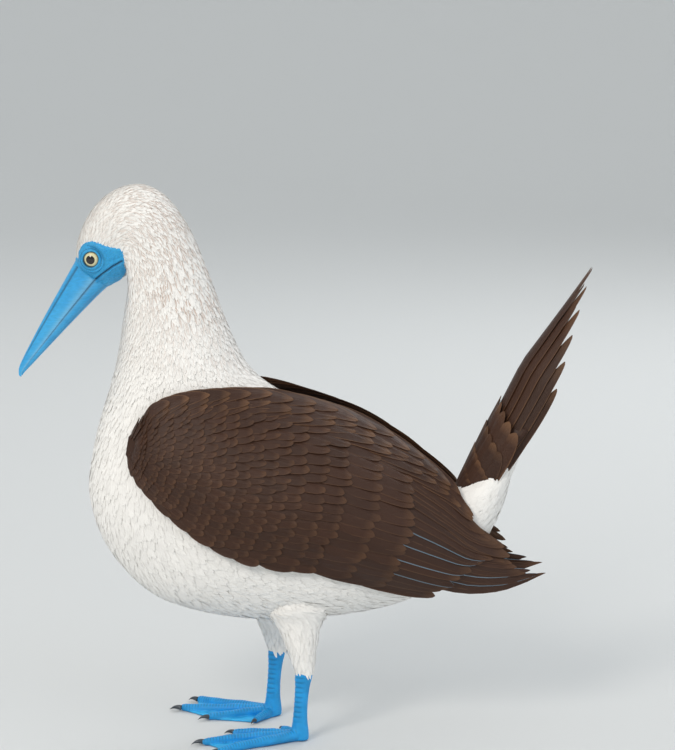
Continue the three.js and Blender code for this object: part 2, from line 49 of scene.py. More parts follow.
pitch = math.radians(headSet["pitch"])
headForward = np.array([-math.cos(pitch), 0, -math.sin(pitch)])
headUp = np.array([-math.sin(pitch), 0, math.cos(pitch)])
sides = ((-1, "left"), (1, "right"))


def headPoint(u, v, y=0):  # u runs forward along the bill, v up to the crown
    u, v, y = np.broadcast_arrays(u, v, y)
    return (np.array(headSet["middle"]) + u[..., None] * headForward + v[..., None] * headUp
            + y[..., None] * np.array([0, 1, 0]))


low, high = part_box("eye_left")
u, v, y = headSet["eye"]
frameShift = np.array((low + high) / 2) * 1000 - headPoint(u, v, -y)  # from these lengths to the frame


def unit(vectors):
    return vectors / np.maximum(np.linalg.norm(vectors, axis=-1, keepdims=True), 1e-9)


def mix(a, b, share):
    return a + (b - a) * share


def fullTurn(count):  # even angles round a circle
    return np.linspace(0, 2 * math.pi, count, endpoint=False)


def bent(start, middle, end, share):  # a curve that leaves for its middle point and comes from it
    return (1 - share) ** 2 * start + 2 * share * (1 - share) * middle + share**2 * end


def smoothStep(low, high, value):
    share = np.clip((value - low) / (high - low), 0, 1)
    return share * share * (3 - 2 * share)


def through(rows, station):  # a smooth curve through the rows of a table
    rows = np.asarray(rows, float)
    last = len(rows) - 1
    station = np.clip(np.asarray(station, float), 0, last)
    padded = np.vstack([2 * rows[0] - rows[1], rows, 2 * rows[-1] - rows[-2]])
    start = np.minimum(station.astype(int), last - 1)
    t = (station - start)[..., None]
    a, b, c, d = (padded[start + step] for step in range(4))
    return 0.5 * (2 * b + (c - a) * t + (2 * a - 5 * b + 4 * c - d) * t**2
                  + (3 * b - a - 3 * c + d) * t**3)


def waves(points, size, seed, layers=3):  # soft random values, about -1 to 1, over distances of size
    draw = np.random.default_rng(seed)
    total = np.zeros(points.shape[:-1])
    for layer in range(layers):
        for _ in range(5):
            way = unit(draw.normal(size=3)) * 2 * math.pi / (size * draw.uniform(0.7, 1.5)) * 2**layer
            total += np.sin(points @ way + draw.uniform(0, 6.3)) * 0.5**layer
    return total / 4


def quadsOfGrid(rows, columns, closed=False):  # faces of a grid of points, which may close on itself
    wide = columns if closed else columns - 1
    i, j = np.meshgrid(np.arange(rows - 1), np.arange(wide), indexing="ij")
    k = (j + 1) % columns
    return np.stack([i * columns + j, (i + 1) * columns + j, (i + 1) * columns + k, i * columns + k],
                    -1).reshape(-1, 4)


def placed(name, data):
    thing = bpy.data.objects.new(name, data)
    bpy.context.scene.collection.objects.link(thing)
    return thing


def makePiece(name, points, faces, material, slot, replaced=(), maps=None, values=None, rim=None):
    mesh = bpy.data.meshes.new(name)
    points = (np.asarray(points).reshape(-1, 3) + frameShift) * 0.001
    corners = faces.ravel().astype(np.int32)
    mesh.vertices.add(len(points))
    mesh.vertices.foreach_set("co", points.astype(np.float32).ravel())
    mesh.loops.add(len(corners))
    mesh.loops.foreach_set("vertex_index", corners)
    mesh.polygons.add(len(faces))
    mesh.polygons.foreach_set("loop_start", np.arange(len(faces), dtype=np.int32) * faces.shape[1])
    for title, coordinates in (maps or {}).items():
        layer = mesh.uv_layers.new(name=title)
        layer.data.foreach_set("uv", coordinates.reshape(-1, 2)[corners].astype(np.float32).ravel())
    for title, numbers in (values or {}).items():
        attribute = mesh.attributes.new(title, "FLOAT", "POINT")
        attribute.data.foreach_set("value", np.asarray(numbers, np.float32).ravel())
    mesh.update(calc_edges=True)
    mesh.shade_smooth()
    if rim is not None:  # the edges between two points of a rim stay sharp
        ends = np.zeros(len(mesh.edges) * 2, np.int32)
        mesh.edges.foreach_get("vertices", ends)
        sharp = mesh.attributes.new("sharp_edge", "BOOLEAN", "EDGE")
        sharp.data.foreach_set("value", rim.ravel()[ends.reshape(-1, 2)].all(1))
    mesh.materials.append(material)
    piece = placed(name, mesh)
    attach(piece, "root")
    if replaced:
        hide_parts(*replaced)


class Surface:  # a mesh to set feathers on, with a flow for them to follow and an unwrap of its own
    def __init__(self, points, quads, flow, unwrap):
        self.points, self.flow, self.unwrap = points, flow, unwrap
        self.triangles = np.vstack([quads[:, [0, 1, 2]], quads[:, [0, 2, 3]]])
        a, b, c = (points[self.triangles[:, k]] for k in range(3))
        across = np.cross(b - a, c - a)
        self.areas = np.linalg.norm(across, axis=1) / 2
        self.normals = np.zeros_like(points)
        for k in range(3):
            np.add.at(self.normals, self.triangles[:, k], across)
        self.normals = unit(self.normals)
        self.tree = BVHTree.FromPolygons(points.tolist(), self.triangles.tolist())

    def settle(self, points):  # the nearest place on the surface: point, outward direction, flow, unwrap
        shape = points.shape
        flat = points.reshape(-1, 3)
        found = [self.tree.find_nearest(p) for p in flat.tolist()]
        at = np.array([f[0][:] for f in found])
        corners = self.triangles[np.array([f[2] for f in found])]
        a, b, c = (self.points[corners[:, k]] for k in range(3))
        whole = np.cross(b - a, c - a)
        size = np.maximum((whole**2).sum(1), 1e-12)
        second = (np.cross(at - a, c - a) * whole).sum(1) / size
        third = (np.cross(b - a, at - a) * whole).sum(1) / size
        shares = np.stack([1 - second - third, second, third], 1)[..., None]
        out = unit((self.normals[corners] * shares).sum(1))
        flow = unit((self.flow[corners] * shares).sum(1))
        return (at.reshape(shape), out.reshape(shape), flow.reshape(shape),
                self.unwrap[corners[:, 0]].reshape(shape[:-1] + (2,)))

    def sow(self, spacing, wanted, seed, density=7):  # scattered places, each its own spacing from the rest
        draw = np.random.default_rng(seed)
        middle = self.points[self.triangles].mean(1)
        weight = self.areas / spacing(middle) ** 2
        count = int(weight.sum() * density)
        chosen = draw.choice(len(weight), count, p=weight / weight.sum())
        r, s = draw.random((2, count))
        r, s = np.where(r + s > 1, 1 - r, r), np.where(r + s > 1, 1 - s, s)
        a, b, c = (self.points[self.triangles[chosen, k]] for k in range(3))
        places = a + (b - a) * r[:, None] + (c - a) * s[:, None]
        places = places[wanted(places)]
        apart = spacing(places)
        tree = KDTree(len(places))
        for i, place in enumerate(places.tolist()):
            tree.insert(place, i)
        tree.balance()
        free = np.ones(len(places), bool)
        kept = []
        for i in range(len(places)):
            if free[i]:
                kept.append(i)
                for _, j, _ in tree.find_range(places[i], apart[i]):
                    free[j] = False
        return places[kept]


# Flesh: the head and the body as two oval lofts, which run into each other.
fleshSet = {
    "head": [  # u, top v, underside v, half width, from the bill's base to the back of the skull
        [34, 17, -17, 13.5], [28, 21.5, -20, 18.5], [19, 26.5, -23.5, 23.5], [6, 31, -27, 27.5],
        [-8, 33, -29, 29], [-22, 32, -29, 28], [-36, 26, -26, 24], [-46, 16, -20, 17], [-51, 5, -11, 8],
    ],
    "body": [  # top x, z, underside x, z, half width, from the nape to the tip of the under-tail coverts
        [-156, 451, -133, 385, 24], [-136, 463, -138, 372, 31], [-112, 457, -142, 358, 31.5],
        [-90, 429, -145, 338, 32], [-75, 394, -150, 312, 35], [-63, 362, -157, 287, 40],
        [-51, 332, -165, 262, 46], [-38, 309, -171, 235, 53], [-18, 292, -174, 200, 61],
        [14, 277, -160, 158, 67.5], [50, 262, -126, 120, 71], [80, 245, -82, 103, 69.5],
        [102, 229, -26, 96, 64], [117, 217, 37, 100, 56], [127, 211, 91, 112, 46],
        [138, 212, 134, 137, 35], [155, 226, 166, 181, 25], [180, 251, 184, 247, 8],
    ],
    "skin": [  # top x, z, underside x, z of the skin's rings, from the bill's base over the head
        [-182.3, 397.7, -155.5, 376.7], [-182.2, 405.2, -150, 379.5], [-180.6, 415.4, -144.5, 381],
        [-176.1, 428.4, -141.5, 381.5], [-169, 440.6, -139.5, 380], [-159.7, 451, -138.5, 377],
        [-149, 457.5, -138.5, 373], [-136, 463, -139, 369],
    ],
    "squareness": 0.92,
    "headDepth": 1.2,  # how far the skin lies under the head's feathers
    "bodyDepth": 1.8,
    "gaps": ([0, 8, 14], [1.3, 1.8, 2.6]),  # the distance between rings, at three stations
}


def ovalRing(top, under, halfWidth, grow, angles):
    middle = (top + under) / 2
    up = top - under
    reach = np.linalg.norm(up, axis=-1, keepdims=True) / 2
    up = up / (2 * reach)
    power = fleshSet["squareness"]
    rise = np.sign(np.cos(angles)) * np.abs(np.cos(angles)) ** power
    out = np.sign(np.sin(angles)) * np.abs(np.sin(angles)) ** power
    ring = middle[:, None, :] + up[:, None, :] * ((reach + grow) * rise)[..., None]
    ring[..., 1] += (halfWidth[:, None] + grow) * out
    return ring


def loftRings(rows, perStation, grow):  # an oval loft through a table, as a grid of points
    rows = np.array(rows, float)
    station = np.linspace(0, len(rows) - 1, perStation * (len(rows) - 1) + 1)
    at = through(rows, station)
    if rows.shape[1] == 4:
        top, under = headPoint(at[:, 0], at[:, 1]), headPoint(at[:, 0], at[:, 2])
    else:
        top = np.stack([at[:, 0], 0 * at[:, 0], at[:, 1]], -1)
        under = np.stack([at[:, 2], 0 * at[:, 0], at[:, 3]], -1)
    angles = fullTurn(96)[None, :]
    return ovalRing(top, under, at[:, -1], np.broadcast_to(grow(station), station.shape)[:, None], angles)


def cappedGrid(grid):  # points and triangles of a closed tube, facing out
    rows, columns = grid.shape[:2]
    points = np.vstack([grid.reshape(-1, 3), grid[0].mean(0), grid[-1].mean(0)])
    quads = quadsOfGrid(rows, columns, True)
    j = np.arange(columns)
    k = (j + 1) % columns
    last = (rows - 1) * columns
    caps = np.vstack([np.stack([j, k, 0 * j + rows * columns], -1),
                      np.stack([last + k, last + j, 0 * j + rows * columns + 1], -1)])
    triangles = np.vstack([quads[:, [0, 1, 2]], quads[:, [0, 2, 3]], caps])
    a, b, c = (points[triangles[:, n]] - points[0] for n in range(3))
    inward = (a * np.cross(b, c)).sum() < 0
    return points, triangles[:, ::-1] if inward else triangles


def joined(solids):  # the points and triangles of closed solids as one list each
    points = np.vstack([p for p, _ in solids])
    starts = np.cumsum([0] + [len(p) for p, _ in solids[:-1]])
    return points, np.vstack([f + start for (_, f), start in zip(solids, starts)])


def treeOf(solids):  # for rays
    points, triangles = joined(solids)
    return BVHTree.FromPolygons(points.tolist(), triangles.tolist())


def fleshTree(headGrow, bodyGrow):
    return treeOf([cappedGrid(loftRings(fleshSet["head"], 8, headGrow)),
                   cappedGrid(loftRings(fleshSet["body"], 8, bodyGrow))])


def leaving(tree, start, way):  # where a ray from inside first leaves all of the solids
    at, step, hits = Vector(start), Vector(way), []
    while True:
        hit, normal, _, _ = tree.ray_cast(at, step, 500)
        if hit is None:
            break
        hits.append((hit[:], 1 if normal.dot(step) > 0 else -1))
        at = hit + step * 1e-3
    depth = sum(way for _, way in hits)
    for place, way in hits:
        depth -= way
        if depth <= 0:
            return place
    return tuple(start)


def flush(station):
    return 0 * station


def underHead(station):
    return 0 * station - fleshSet["headDepth"]


def underBody(station):  # thinner again at the tail's end
    depth = mix(fleshSet["headDepth"], fleshSet["bodyDepth"], smoothStep(1, 7, station))
    return -depth * (1 - 0.6 * smoothStep(14, 17, station))


bareTree = fleshTree(flush, flush)
skinTree = fleshTree(underHead, underBody)

skinRows = np.array(fleshSet["skin"] + [row[:4] for row in fleshSet["body"][2:]], float)
fine = np.linspace(0, len(skinRows) - 1, 2001)
edges = through(skinRows, fine)
steps = np.maximum(np.hypot(*np.diff(edges[:, :2], axis=0).T), np.hypot(*np.diff(edges[:, 2:], axis=0).T))
travel = np.concatenate([[0], np.cumsum(steps / np.interp(fine[1:], *fleshSet["gaps"]))])
ringAt = np.interp(np.linspace(0, travel[-1], int(travel[-1])), travel, fine)
edges = through(skinRows, ringAt)
halfRing, ringSides = 96, 150  # rays over half a ring, and even points round the whole of it
skinGrid = []
for topX, topZ, underX, underZ in edges:
    top, under = np.array([topX, 0, topZ]), np.array([underX, 0, underZ])
    middle, up = (top + under) / 2, (top - under) / np.linalg.norm(top - under)
    rays = []
    for turn in np.linspace(0, math.pi, halfRing):
        way = up * math.cos(turn) + np.array([0, math.sin(turn), 0])
        rays.append(leaving(skinTree, middle, way))
    rays = np.array(rays)
    length = np.concatenate([[0], np.cumsum(np.linalg.norm(np.diff(rays, axis=0), axis=1))])
    even = np.linspace(0, length[-1], ringSides // 2 + 1)
    half = np.stack([np.interp(even, length, rays[:, k]) for k in range(3)], -1)
    skinGrid.append(np.vstack([half, half[-2:0:-1] * [1, -1, 1]]))
skinGrid = np.array(skinGrid)
crease = smoothStep(1.6, 3, ringAt) * (1 - smoothStep(8, 10, ringAt))  # where jaw and neck meet
for _ in range(4):
    skinGrid = mix(skinGrid, (np.roll(skinGrid, 1, 1) + np.roll(skinGrid, -1, 1)) / 2, 0.4)
    skinGrid[1:-1] = mix(skinGrid[1:-1], (skinGrid[:-2] + skinGrid[2:]) / 2, 0.4)
ease = 0.45 * crease[1:-1, None, None]
for _ in range(86):
    skinGrid[1:-1] = mix(skinGrid[1:-1], (skinGrid[:-2] + skinGrid[2:]) / 2, ease)
print("skin rings", skinGrid.shape)


# Materials: one function turns sRGB hex to linear, and one adds a node with its settings and links.
# Inputs go by name or number: 1 to 4 of Map Range are the ranges from and to, 6 and 7 of Mix the colours.
def colour(code):
    values = [int(code[k:k + 2], 16) / 255 for k in (1, 3, 5)]
    return tuple(c / 12.92 if c <= 0.04045 else ((c + 0.055) / 1.055) ** 2.4 for c in values) + (1.0,)


def add(tree, kind, inputs=None, **settings):
    node = tree.nodes.new("ShaderNode" + kind)
    for name, value in settings.items():
        setattr(node, name, value)
    for socket, value in (inputs or {}).items():
        if isinstance(value, bpy.types.Node):  # a node stands for its first output in use
            value = next(output for output in value.outputs if output.enabled)
        if isinstance(value, bpy.types.NodeSocket):
            tree.links.new(value, node.inputs[socket])
        else:
            node.inputs[socket].default_value = value
    return node


def newMaterial(name, **shader):
    material = bpy.data.materials.new(name)
    material.use_nodes = True
    tree = material.node_tree
    tree.nodes.clear()
    surface = add(tree, "BsdfPrincipled", {k.replace("_", " "): v for k, v in shader.items()})
    add(tree, "OutputMaterial", {"Surface": surface})
    return material, tree, surface


# Feather keratin, grown as barbs that zip into a vane. White feathers scatter all light and have a soft,
# matt bloom. Brown ones hold pigment, are a little glossier, and wear pale at their edges.
# Real barbs lie 0.4 mm apart. They are drawn 1.2 mm and 1.5 mm apart, as coarse as they need to show.
def featherKeratin(name, light, dark, fringe, roughness, sheen, vary, barb):
    material, tree, surface = newMaterial(name, Roughness=roughness, IOR=1.55, Specular_IOR_Level=0.3,
                                          Sheen_Weight=sheen, Sheen_Roughness=0.45)
    marks = {mark: add(tree, "Attribute", attribute_name=mark).outputs["Fac"]
             for mark in ("edge", "tip", "tint", "fringe", "brown", "streak", "cool")}
    vane = add(tree, "UVMap", uv_map="vane")
    across, along, _ = add(tree, "SeparateXYZ", {0: vane}).outputs
    across = add(tree, "Math", {0: across}, operation="ABSOLUTE")
    wobble = add(tree, "TexNoise", {"Vector": vane, "Scale": 0.35, "Detail": 2.0})
    slope = add(tree, "Math", {0: across, 1: -1.4, 2: along}, operation="MULTIPLY_ADD")
    slope = add(tree, "Math", {0: wobble, 1: 1.6, 2: slope}, operation="MULTIPLY_ADD")
    turns = add(tree, "Math", {0: slope, 1: 2 * math.pi / barb}, operation="MULTIPLY")
    barbs = add(tree, "Math", {0: turns}, operation="SINE")
    # Colour: a darker streak up the middle of some, then brown, then the worn fringe.
    middle = add(tree, "MapRange", {0: marks["edge"], 1: 0.75, 2: 0.15, 3: 0.0, 4: 1.0})
    outer = add(tree, "MapRange", {0: marks["tip"], 1: 0.05, 2: 0.5, 3: 0.2, 4: 1.0})
    streak = add(tree, "Math", {0: middle, 1: outer}, operation="MULTIPLY")
    streak = add(tree, "Math", {0: streak, 1: marks["streak"]}, operation="MULTIPLY")
    pale = add(tree, "Mix", {0: streak, 6: colour(light), 7: colour("#a57c5c")}, data_type="RGBA")
    tone = add(tree, "Mix", {0: marks["brown"], 6: pale, 7: colour(dark)}, data_type="RGBA")
    ends = add(tree, "Math", {0: marks["tip"], 1: marks["cool"]}, operation="SUBTRACT")
    rim = add(tree, "Math", {0: marks["edge"], 1: ends}, operation="MAXIMUM")
    rim = add(tree, "MapRange", {0: rim, 1: 0.86, 2: 1.0, 3: 0.0, 4: marks["fringe"]})
    worn = add(tree, "Mix", {0: marks["cool"], 6: colour(fringe), 7: colour("#7c97a8")}, data_type="RGBA")
    rimmed = add(tree, "Mix", {0: rim, 6: tone, 7: worn}, data_type="RGBA")
    # Shade: the barbs, each feather's own tone, and painted shade that darkens each feather towards its root,
    # where the feathers lying over it would shade it.
    shade = add(tree, "MapRange", {0: barbs, 1: -1.0, 2: 1.0, 3: 0.93, 4: 1.04})
    own = add(tree, "MapRange", {0: marks["tint"], 3: 1 - vary, 4: 1 + vary})
    root = add(tree, "MapRange", {0: marks["tip"], 1: 0.0, 2: 0.8, 3: 0.94, 4: 1.0})
    for part in (own, root):
        shade = add(tree, "Math", {0: shade, 1: part}, operation="MULTIPLY")
    final = add(tree, "VectorMath", {0: rimmed, "Scale": shade}, operation="SCALE")
    shaft = add(tree, "MapRange", {0: across, 1: 0.12, 2: 0.5, 3: 2.2, 4: 0.0})
    height = add(tree, "Math", {0: barbs, 1: shaft}, operation="ADD")
    bump = add(tree, "Bump", {"Strength": 0.35, "Distance": 0.00012, "Height": height})
    tree.links.new(final.outputs[0], surface.inputs["Base Color"])
    tree.links.new(bump.outputs[0], surface.inputs["Normal"])
    return material


whitePlumage = featherKeratin("contour_feather_white", light="#fbf9f5", dark="#3a2212", fringe="#ece4d6",
                              roughness=0.75, sheen=0.2, vary=0.04, barb=1.2)
brownPlumage = featherKeratin("flight_feather_brown", light="#f2eee6", dark="#3a2010", fringe="#7c583a",
                              roughness=0.52, sheen=0.05, vary=0.14, barb=1.5)


# Markings, shared by skin and feathers.
markSet = {
    "mantle": (-30, 104), "back": (190, 215),  # x of the brown mantle's ends, z over which it sets in
    "nape": 0.65, "throat": 0.3, "around": (-150, -105),  # strength of the streaks, x from throat to nape
    "breast": (285, 372),  # z over which they set in
}


def brownAt(points, out):  # the mantle between the wings
    ragged = 7 * waves(points, 26, 5)
    x = points[..., 0] + ragged
    front, back = markSet["mantle"]
    over = smoothStep(0.25, 0.5, out[..., 2] + 0.02 * ragged)
    along = smoothStep(front - 6, front + 12, x) * (1 - smoothStep(back - 10, back + 6, x))
    return over * along * smoothStep(*markSet["back"], points[..., 2])


def streakAt(points):  # the head and neck, fading at the breast and on the throat
    x, z = points[..., 0], points[..., 2]
    around = smoothStep(*markSet["around"], x + 0.25 * (z - 400))
    fade = smoothStep(*markSet["breast"], z + 16 * waves(points, 40, 9))
    return fade * mix(markSet["throat"], markSet["nape"], around) * (0.9 + 0.15 * waves(points, 18, 3))


# One skin under the plumage, with the feathered shanks, in the colours of what covers it.
shankSet = {
    "ankle": 60, "feet": {-1: 2, 1: -22}, "stance": 38, "flare": 7.5, "ease": 11,
    "rings": [  # height, mean radius
        [57, 6.5], [60, 6.9], [66, 7.9], [74, 9.4], [84, 11.2], [98, 13], [114, 14], [138, 12],
    ],
    "map": 0.82,  # the shanks lie past this on the map OFBake
    "top": 145, "near": 60, "deep": -14,  # below that height and so deep in the belly, nothing grows
}


def tubeRings(middles, deep, wide, sides):  # level rings round a leg
    turn = fullTurn(sides)
    ring = np.stack([np.cos(turn), np.sin(turn), 0 * turn], -1)
    return np.asarray(middles)[:, None, :] + ring * np.stack([deep, wide, 0 * deep], -1)[:, None, :]


def belowBelly(place):  # how far a place lies below the belly, 0 inside it
    belly = bareTree.ray_cast(Vector((place[0], place[1], 30)), Vector((0, 0, 1)))[0]
    return max(belly.z - place[2], 0) if belly else 99


def shankGrid(side):
    rows = through(shankSet["rings"], np.linspace(0, 7, 46))
    above = rows[:, 0] - shankSet["ankle"]
    middles = np.stack([shankSet["feet"][side] + 4 - 0.12 * above,
                        side * (shankSet["stance"] - 0.0024 * above**2), rows[:, 0]], -1)
    grid = tubeRings(middles, 1.15 * rows[:, 1], 0.85 * rows[:, 1], 40)
    for ring, middle in zip(grid, middles):  # the thigh widens to meet the belly
        for place in ring:
            share = math.exp(-belowBelly(place) / shankSet["ease"])
            place += unit(place - middle) * shankSet["flare"] * share
    return grid[::-1]


def gridSurface(grids):  # closed-round grids as one surface, their flow running down the rows
    points, quads, flow, unwrap, start = [], [], [], [], 0
    for number, grid in enumerate(grids):
        rows, columns = grid.shape[:2]
        points.append(grid.reshape(-1, 3))
        quads.append(quadsOfGrid(rows, columns, True) + start)
        way = unit(np.gradient(grid, axis=0))
        for _ in range(12):  # neighbouring feathers lie alike
            way[1:-1] = way[1:-1] / 2 + (way[:-2] + way[2:]) / 4
            way = way / 2 + (np.roll(way, 1, 1) + np.roll(way, -1, 1)) / 4
        flow.append(unit(way).reshape(-1, 3))
        length = np.concatenate([[0], np.cumsum(np.linalg.norm(np.diff(grid.mean(1), axis=0), axis=1))])
        share, turn = np.meshgrid(length / length[-1], np.arange(columns) / columns, indexing="ij")
        if number == 0:  # the body fills the map's left, the shanks share its right
            place = np.stack([0.02 + 0.78 * share, 0.02 + 0.96 * turn], -1)
        else:
            place = np.stack([0.83 + 0.15 * share, 0.48 * number - 0.46 + 0.44 * turn], -1)
        unwrap.append(place.reshape(-1, 2))
        start += rows * columns
    points, quads = np.vstack(points), np.vstack(quads)
    middle = points[quads[0]].mean(0)
    outward = np.cross(points[quads[0][2]] - points[quads[0][0]], points[quads[0][3]] - points[quads[0][1]])
    if outward @ (middle - grids[0][0].mean(0)) < 0:
        quads = quads[:, ::-1]
    return Surface(points, quads, np.vstack(flow), np.vstack(unwrap)), quads


body, skinQuads = gridSurface([skinGrid, shankGrid(-1), shankGrid(1)])
onShank = body.unwrap[:, 0] > shankSet["map"]
lean = smoothStep(16, 2, np.array([belowBelly(place) for place in body.points[onShank]]))[:, None]
way = mix(body.flow[onShank], np.array([1.0, 0, 0]), 0.7 * lean)  # the belly's feathers turn down the legs
outward = body.normals[onShank]
body.flow[onShank] = unit(way - outward * (way * outward).sum(1, keepdims=True))


def makeFlesh(name, points, faces, material, slot, replaced, brown, streak, unwrap=None):
    marks = {"edge": 0.3, "tip": 0.8, "tint": 0.4, "fringe": 0, "brown": brown, "streak": streak}
    maps = {} if unwrap is None else {"OFBake": unwrap}
    maps["vane"] = np.full((len(points), 2), 3.0)  # a place between two barbs, the same all over
    makePiece(name, points, faces, material, slot, replaced, maps,
              {mark: np.full(len(points), value, float) for mark, value in marks.items()})


makeFlesh("skin", body.points, skinQuads, whitePlumage, "white_feathers",
          ("head", "neck", "torso", "shank_left", "shank_right"),
          brownAt(body.points, body.normals), streakAt(body.points), body.unwrap)
print("skin", len(skinQuads), "faces")


# A feather is a thin closed blade: an upper face, and a lower one that shares its rim.
def bladeFaces(rows, columns):
    upper = np.arange((rows + 1) * (columns + 1)).reshape(rows + 1, columns + 1)
    lower = upper.copy()
    inner = (rows - 1) * (columns - 1)
    lower[1:-1, 1:-1] = upper.size + np.arange(inner).reshape(rows - 1, columns - 1)
    cells = lambda n: np.stack([n[:-1, :-1], n[:-1, 1:], n[1:, 1:], n[1:, :-1]], -1).reshape(-1, 4)
    return np.vstack([cells(upper), cells(lower)[:, ::-1]])


def bladeRows(rows):  # shares of a feather's length, closer at its tip
    return 1 - (1 - np.linspace(0, 1, rows + 1)) ** 1.5


def outline(t, point, blunt=0.04):  # half breadth along a feather, round at its tip where point is 0
    fullEnd = np.sqrt(np.clip(1 - np.clip((t - 0.55) / 0.45, 0, 1) ** 2.4, 0, 1))
    slimEnd = np.clip(1 - np.clip((t - 0.3) / 0.7, 0, 1) ** 1.5, 0, 1)
    full, slim = np.minimum(0.42 + 1.25 * t, 1) * fullEnd, np.minimum(0.5 + 1.8 * t, 1) * slimEnd
    return np.maximum(mix(full, slim, point), blunt)


featherSet = {"patch": 0.0015, "most": 190000}  # half a feather's patch on the map, triangles in a piece


# Feathers as they were laid: upper face, outward direction, root on the map, shares of the length,
# and the distances across and along the vane.
def makeFeathers(name, laid, thick, material, slot, values, replaced=()):
    top, out, root, t, across, along = laid
    count, rows, columns = top.shape[:3]
    a = np.linspace(-1, 1, columns)
    share = np.broadcast_to(t[:, None], (count, rows, columns))
    edge = np.broadcast_to(a[None, None, :], share.shape)
    stack = lambda upper: np.concatenate(
        [upper.reshape((count, rows * columns) + upper.shape[3:]),
         upper[:, 1:-1, 1:-1].reshape((count, (rows - 2) * (columns - 2)) + upper.shape[3:])], 1)
    points = stack(top)
    points[:, rows * columns:] -= stack(out)[:, rows * columns:] * thick
    vane = np.stack([stack(across), stack(np.broadcast_to(along[..., None], share.shape))], -1)
    patch = root[:, None, :] + featherSet["patch"] * np.stack([stack(2 * share - 1), stack(edge)], -1)
    numbers = {"edge": np.abs(stack(edge)), "tip": stack(share)}
    for title, value in values.items():
        value = np.asarray(value, float)
        if value.ndim == 3:
            numbers[title] = stack(value)
        else:
            numbers[title] = np.broadcast_to(np.broadcast_to(value, count)[:, None], points.shape[:2])
    faces = bladeFaces(rows - 1, columns - 1)
    rim = np.zeros(points.shape[1], bool)
    rim[:rows * columns] = (np.abs(edge[0]) == 1).ravel()
    rim[:columns] = rim[(rows - 1) * columns:rows * columns] = True
    groups = max(1, math.ceil(count * len(faces) * 2 / featherSet["most"]))
    order = np.array_split(np.argsort(root[:, 0], kind="stable"), groups)
    for number, chosen in enumerate(order):
        starts = np.arange(len(chosen))[:, None, None] * points.shape[1]
        title = name if groups == 1 else f"{name}_{number + 1}"
        makePiece(title, points[chosen], (faces[None] + starts).reshape(-1, 4), material, slot,
                  replaced if number == 0 else (),
                  {"OFBake": patch[chosen], "vane": vane[chosen]},
                  {key: value[chosen] for key, value in numbers.items()}, np.tile(rim, len(chosen)))
    print(name, count, "feathers in", groups, "pieces,", count * len(faces) * 2, "triangles")


def inside(points, polygon):  # which flat points lie in a polygon
    x, y = points[..., 0], points[..., 1]
    result = np.zeros(x.shape, bool)
    for (x0, y0), (x1, y1) in zip(polygon, np.roll(polygon, -1, 0)):
        crosses = (y0 > y) != (y1 > y)
        result ^= crosses & (x < (x1 - x0) * (y - y0) / (y1 - y0 + 1e-12) + x0)
    return result


def headCoordinates(points):
    away = points - np.array(headSet["middle"])
    return np.stack([away @ headForward, away @ headUp], -1)


# The folded wings' outline and skin, standing off the flesh.
wingSet = {
    "stations": [  # top x, z, half breadth, underside x, z, half breadth, half breadth between, wrist to tip
        [-138, 258, 50, -140, 246, 50, 52], [-112, 286, 55, -124, 220, 58, 67],
        [-66, 296, 46, -84, 184, 66, 77], [-15, 292, 24, -38, 161, 66, 81],
        [40, 276, 15, 10, 148, 62, 81], [85, 250, 14, 58, 136, 55, 73],
        [120, 221, 16, 105, 124, 46, 59], [150, 190, 19, 140, 116, 36, 45],
        [180, 168, 21, 172, 117, 27, 33], [208, 145, 21, 207, 135, 21, 23],
    ],
    "cover": 4,  # how far it stands off the flesh at least
    "rows": 120, "columns": 48,
    "length": 380, "way": (0.75, 0, -0.66),
}


def wingGrids():  # the right wing's skin over the side view, its outward direction and its breadth
    s = np.linspace(0, 1, wingSet["rows"] + 1)
    v = np.linspace(0, 1, wingSet["columns"] + 1)[None, :, None]
    at = through(wingSet["stations"], s * (len(wingSet["stations"]) - 1))[:, None, :]
    top, under = at[..., [0, 2, 1]], at[..., [3, 5, 4]]
    grid = mix(top, under, v)
    grid[..., 1] += (at[..., 6] - (top[..., 1] + under[..., 1]) / 2) * (4 * v * (1 - v))[..., 0]
    for row in grid:
        for place in row:
            hit = bareTree.ray_cast(Vector((place[0], 300, place[2])), Vector((0, -1, 0)))[0]
            if hit is not None and hit.y > 0:
                place[1] = max(place[1], hit.y + wingSet["cover"])
    for _ in range(4):
        grid[1:-1] = mix(grid[1:-1], (grid[:-2] + grid[2:]) / 2, 0.4)
        grid[:, 1:-1] = mix(grid[:, 1:-1], (grid[:, :-2] + grid[:, 2:]) / 2, 0.4)
    out = unit(np.cross(np.gradient(grid, axis=1), np.gradient(grid, axis=0)))
    out *= np.where(out[..., 1:2] < 0, -1, 1)
    breadth = np.linalg.norm(np.diff(grid, axis=1), axis=2).sum(1)
    return grid, out, breadth


wingGrid, wingOut, wingBreadth = wingGrids()


def onWing(s, v):  # a point of the wing's skin and its outward direction
    a = np.clip(s, 0, 1) * wingSet["rows"]
    b = np.clip(v, 0, 1) * wingSet["columns"]
    i = np.minimum(a.astype(int), wingSet["rows"] - 1)
    j = np.minimum(b.astype(int), wingSet["columns"] - 1)
    a, b = (a - i)[..., None], (b - j)[..., None]
    between = lambda grid: mix(mix(grid[i, j], grid[i, j + 1], b),
                               mix(grid[i + 1, j], grid[i + 1, j + 1], b), a)
    # Past its edges the skin runs on straight.
    beyond = (s - np.clip(s, 0, 1))[..., None] * wingSet["length"] * np.array(wingSet["way"])
    fall = v - np.clip(v, 0, 1)
    down = unit(wingGrid[i, -1] - wingGrid[i, 0]) * (fall * wingBreadth[i])[..., None]
    return between(wingGrid) + beyond + down, unit(between(wingOut))


wingOutline = np.vstack([wingGrid[:, 0][:, [0, 2]], wingGrid[::-1, -1][:, [0, 2]]])


